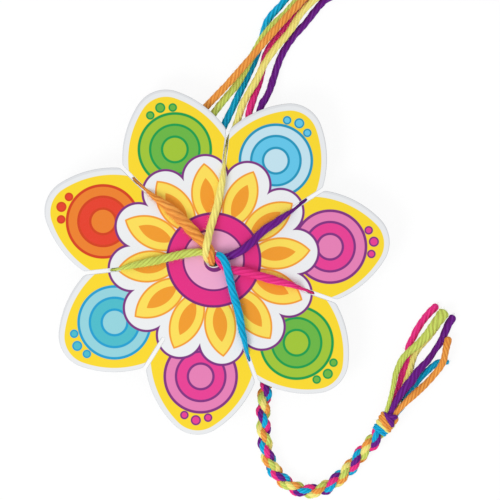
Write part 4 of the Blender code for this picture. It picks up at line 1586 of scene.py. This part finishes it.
PETAL_DOTS = ((50.1, 0.0, 1.1), (48.9, 3.7, 0.85))
DOT_LINE = 0.5
# A grey band along the outer cut edge: partly rubbed wear, partly painted shade of the
# card's rounded cut edge.
EDGE_WEAR_AND_SHADE_WIDTH = 0.35
EDGE_WEAR_AND_SHADE_GREY = (214, 216, 220)
PAPER_GRAIN = 5200.0
LEAVES = 12
LEAF_TURN = 0.1
SCALLOP_AT, SCALLOP_RADIUS, FRAME_RADIUS, FRAME_LINE = 25.6, 7.5, 27.0, 0.75
LEAF_LAYERS = (
    (20.2, 10.1, 5.0, (246, 160, 45)),
    (20.2, 9.4, 4.4, (255, 226, 90)),
    (19.8, 5.8, 2.2, (245, 158, 38)),
)
MIDDLE_RINGS_AND_HOLE_WALL_HIGHLIGHT = (
    (14.85, (0.0, 0.0), DARK_PURPLE),
    (14.05, (0.0, 0.0), (232, 40, 134)),
    (9.75, (0.0, 0.0), DARK_PURPLE),
    (9.1, (0.0, 0.0), (244, 172, 210)),
    (3.3, (0.25, -0.45), (124, 36, 124)),
    # This white circle, set off the hole's middle, shows only as a thin crescent below
    # the hole: a painted highlight for the hole's lit cut wall.
    (2.72, (0.05, 0.25), FRAME_WHITE),
)
print(f"{PETALS} petals with {len(PETAL_RINGS)} rings each, {LEAVES} leaves")

# %% [markdown]
# Each shape below is a distance: above nought inside it, below outside. The
# shapes are laid over each other in the order in which they were drawn.


# %% The printed finish
def far(u, v, middle_u=0.0, middle_v=0.0):
    """How far a place is from a point."""
    return ((u - middle_u) ** 2.0 + (v - middle_v) ** 2.0).root()


def inside(distance):
    """1 inside a shape and 0 outside, as soft as a printed edge."""
    return distance.step_over(0.0, PRINT_SOFTNESS)


def petal_edge(u, v):
    """How far inside the board's edge a place in the folded petal is."""
    x, y = u - PETAL_MIDDLE.x, v
    past_join = (y * math.cos(JOIN) - x * math.sin(JOIN)).step_over(0.0, 1e-4)
    from_tip = PETAL_TIP_RADIUS - far(x, y)
    from_side = PETAL_SIDE_RADIUS - far(u, v, SIDE_MIDDLE.x, SIDE_MIDDLE.y)
    return from_tip + (from_side - from_tip) * past_join


def print_finish():
    """The printed face: rings, leaves, a scalloped frame, petal circles, a painted
    highlight below the hole and an edge band of wear and painted shade.
    """
    made, maker, shader = new_finish("printed_card")
    here = maker.node("ShaderNodeTexCoord").outputs["Object"]
    x, y, _ = maker.parts(here)
    x, y = x / MM - PRINT_SHIFT[0], y / MM - PRINT_SHIFT[1]
    radius, angle = far(x, y), y.angle_over(x)

    def folded(count, start):
        """The place, folded into half of one of some equal sectors."""
        half = math.pi / count
        part = abs((angle - start).wrapped(half, -half))
        return radius * part.cosine(), radius * part.sine()

    def petal_hue(level):
        """One of a petal's three colours, picked by the petal's number."""
        hue = linear(*PETAL_COLOURS[0][level])
        for k in range(1, PETALS):
            colour = linear(*PETAL_COLOURS[k][level])
            hue = maker.mix(number.step_over(k - 0.5, 0.01), hue, colour)
        return hue

    first = math.radians(FIRST_PETAL_ANGLE)
    number = ((angle - first) / (2 * math.pi / PETALS) + 0.5).whole()
    number = number.wrapped(float(PETALS), 0.0)
    u, v = folded(PETALS, first)
    edge = petal_edge(u, v)
    printed = inside(edge - WHITE_RIM)
    hue = maker.mix(printed, linear(*CARD_WHITE), linear(*SUN_YELLOW))
    hues = [petal_hue(level) for level in (LIGHT, MID, LINE)]
    from_rings = far(u, v, RINGS_AT)
    for reach, level in PETAL_RINGS:
        hue = maker.mix(inside(reach - from_rings) * printed, hue, hues[level])
    for dot_u, dot_v, reach in PETAL_DOTS:
        in_dot = reach - far(u, v, dot_u, dot_v)
        hue = maker.mix(inside(in_dot + DOT_LINE), hue, hues[LINE])
        hue = maker.mix(inside(in_dot), hue, hues[MID])

    u, v = folded(LEAVES, LEAF_TURN)
    frame = (SCALLOP_RADIUS - far(u, v, SCALLOP_AT)).most(FRAME_RADIUS - radius)
    shapes = [(frame, FRAME_PURPLE), (frame - FRAME_LINE, FRAME_WHITE)]
    for middle, bow, half_width, colour in LEAF_LAYERS:
        bulge = (bow * bow - half_width * half_width) / (2 * half_width)
        shapes.append((bulge + half_width - far(u, v, middle, -bulge), colour))
    for reach, middle, colour in MIDDLE_RINGS_AND_HOLE_WALL_HIGHLIGHT:
        shapes.append((reach - far(x, y, *middle), colour))
    for shape, colour in shapes:
        hue = maker.mix(inside(shape), hue, linear(*colour))

    grain = maker.noise(here, PAPER_GRAIN, 2.0, 0.6)
    cloud = maker.noise(here, 45.0)
    # Grey band along the cut edge, blotchy: partly wear, partly painted shade of the
    # rounded edge.
    edge_wear_and_shade = inside(EDGE_WEAR_AND_SHADE_WIDTH - edge + (cloud - 0.5) * 0.5)
    hue = maker.mix(edge_wear_and_shade * 0.5, hue, linear(*EDGE_WEAR_AND_SHADE_GREY))
    sockets = {
        "Base Color": maker.mix((grain - 0.5) * 0.12, hue, linear(255, 255, 255)),
        "Normal": maker.bump(grain, 0.12, 0.04),
        "Roughness": 0.42 + grain * 0.16,
        "Specular IOR Level": 0.22,
    }
    maker.wire(shader, sockets)
    print("print nodes:", len(made.node_tree.nodes))
    return made


for mesh, finish in ((board_mesh, CARD), (face_mesh, print_finish())):
    mesh.materials.append(finish)
    mesh.materials.append(CUT_EDGE)
add_piece("card_board", board_mesh, "disc", ("board",))
add_piece("printed_sheet", face_mesh, "disc", ("printed_face",))

# %% [markdown]
# ## Table and light
#
# A product photograph on white is bright all round with one soft key light.
# The floor glows for the camera and for reflections only, so it reads white
# without throwing more light on the yarn, and it still darkens a little where
# the disc keeps the key light off.

# %% Floor, world and key light
FLOOR_REACH = 1.5
GLOW_SHARE, GLOW_STRENGTH = 0.84, 1.06
WORLD_STRENGTH = 0.7
KEY_POWER = 5.6
KEY_ACROSS = 0.6
KEY_PLACE = (-0.62, -0.55, 0.85)
floor_mesh = bpy.data.meshes.new("floor")
signs = ((-1, -1), (1, -1), (1, 1), (-1, 1))
corners = [(x * FLOOR_REACH, y * FLOOR_REACH, TABLE * MM) for x, y in signs]
floor_mesh.from_pydata(corners, [], [(0, 1, 2, 3)])
floor = link(bpy.data.objects.new("floor", floor_mesh))
finish, maker, shader = new_finish("floor_white")
maker.wire(shader, {"Base Color": (0.8, 0.8, 0.8, 1.0), "Roughness": 1.0})
rays = maker.node("ShaderNodeLightPath")
seen = Value(maker, rays.outputs["Is Camera Ray"])
for kind in ("Is Glossy Ray", "Is Transmission Ray"):
    seen = seen.most(Value(maker, rays.outputs[kind]))
glow = maker.out("ShaderNodeEmission", {}, {"Strength": GLOW_STRENGTH})
sockets = {0: seen * GLOW_SHARE, 1: shader.outputs[0], 2: glow}
blend = maker.out("ShaderNodeMixShader", {}, sockets)
maker.wire(finish.node_tree.nodes["Material Output"], {"Surface": blend})
floor_mesh.materials.append(finish)

world = bpy.data.worlds.new("studio")
world.use_nodes = True
sky = world.node_tree.nodes["Background"]
sky.inputs["Color"].default_value = (1, 1, 1, 1)
sky.inputs["Strength"].default_value = WORLD_STRENGTH
bpy.context.scene.world = world

key_data = bpy.data.lights.new("key", "AREA")
key_data.shape = "DISK"
key_data.size = KEY_ACROSS
key_data.energy = KEY_POWER
key = bpy.data.objects.new("key", key_data)
key.location = KEY_PLACE
key.rotation_mode = "QUATERNION"
key.rotation_quaternion = (-key.location).to_track_quat("-Z", "Y")
link(key)
bpy.context.scene.view_settings.view_transform = "Standard"
print("floor, world and key light ready")
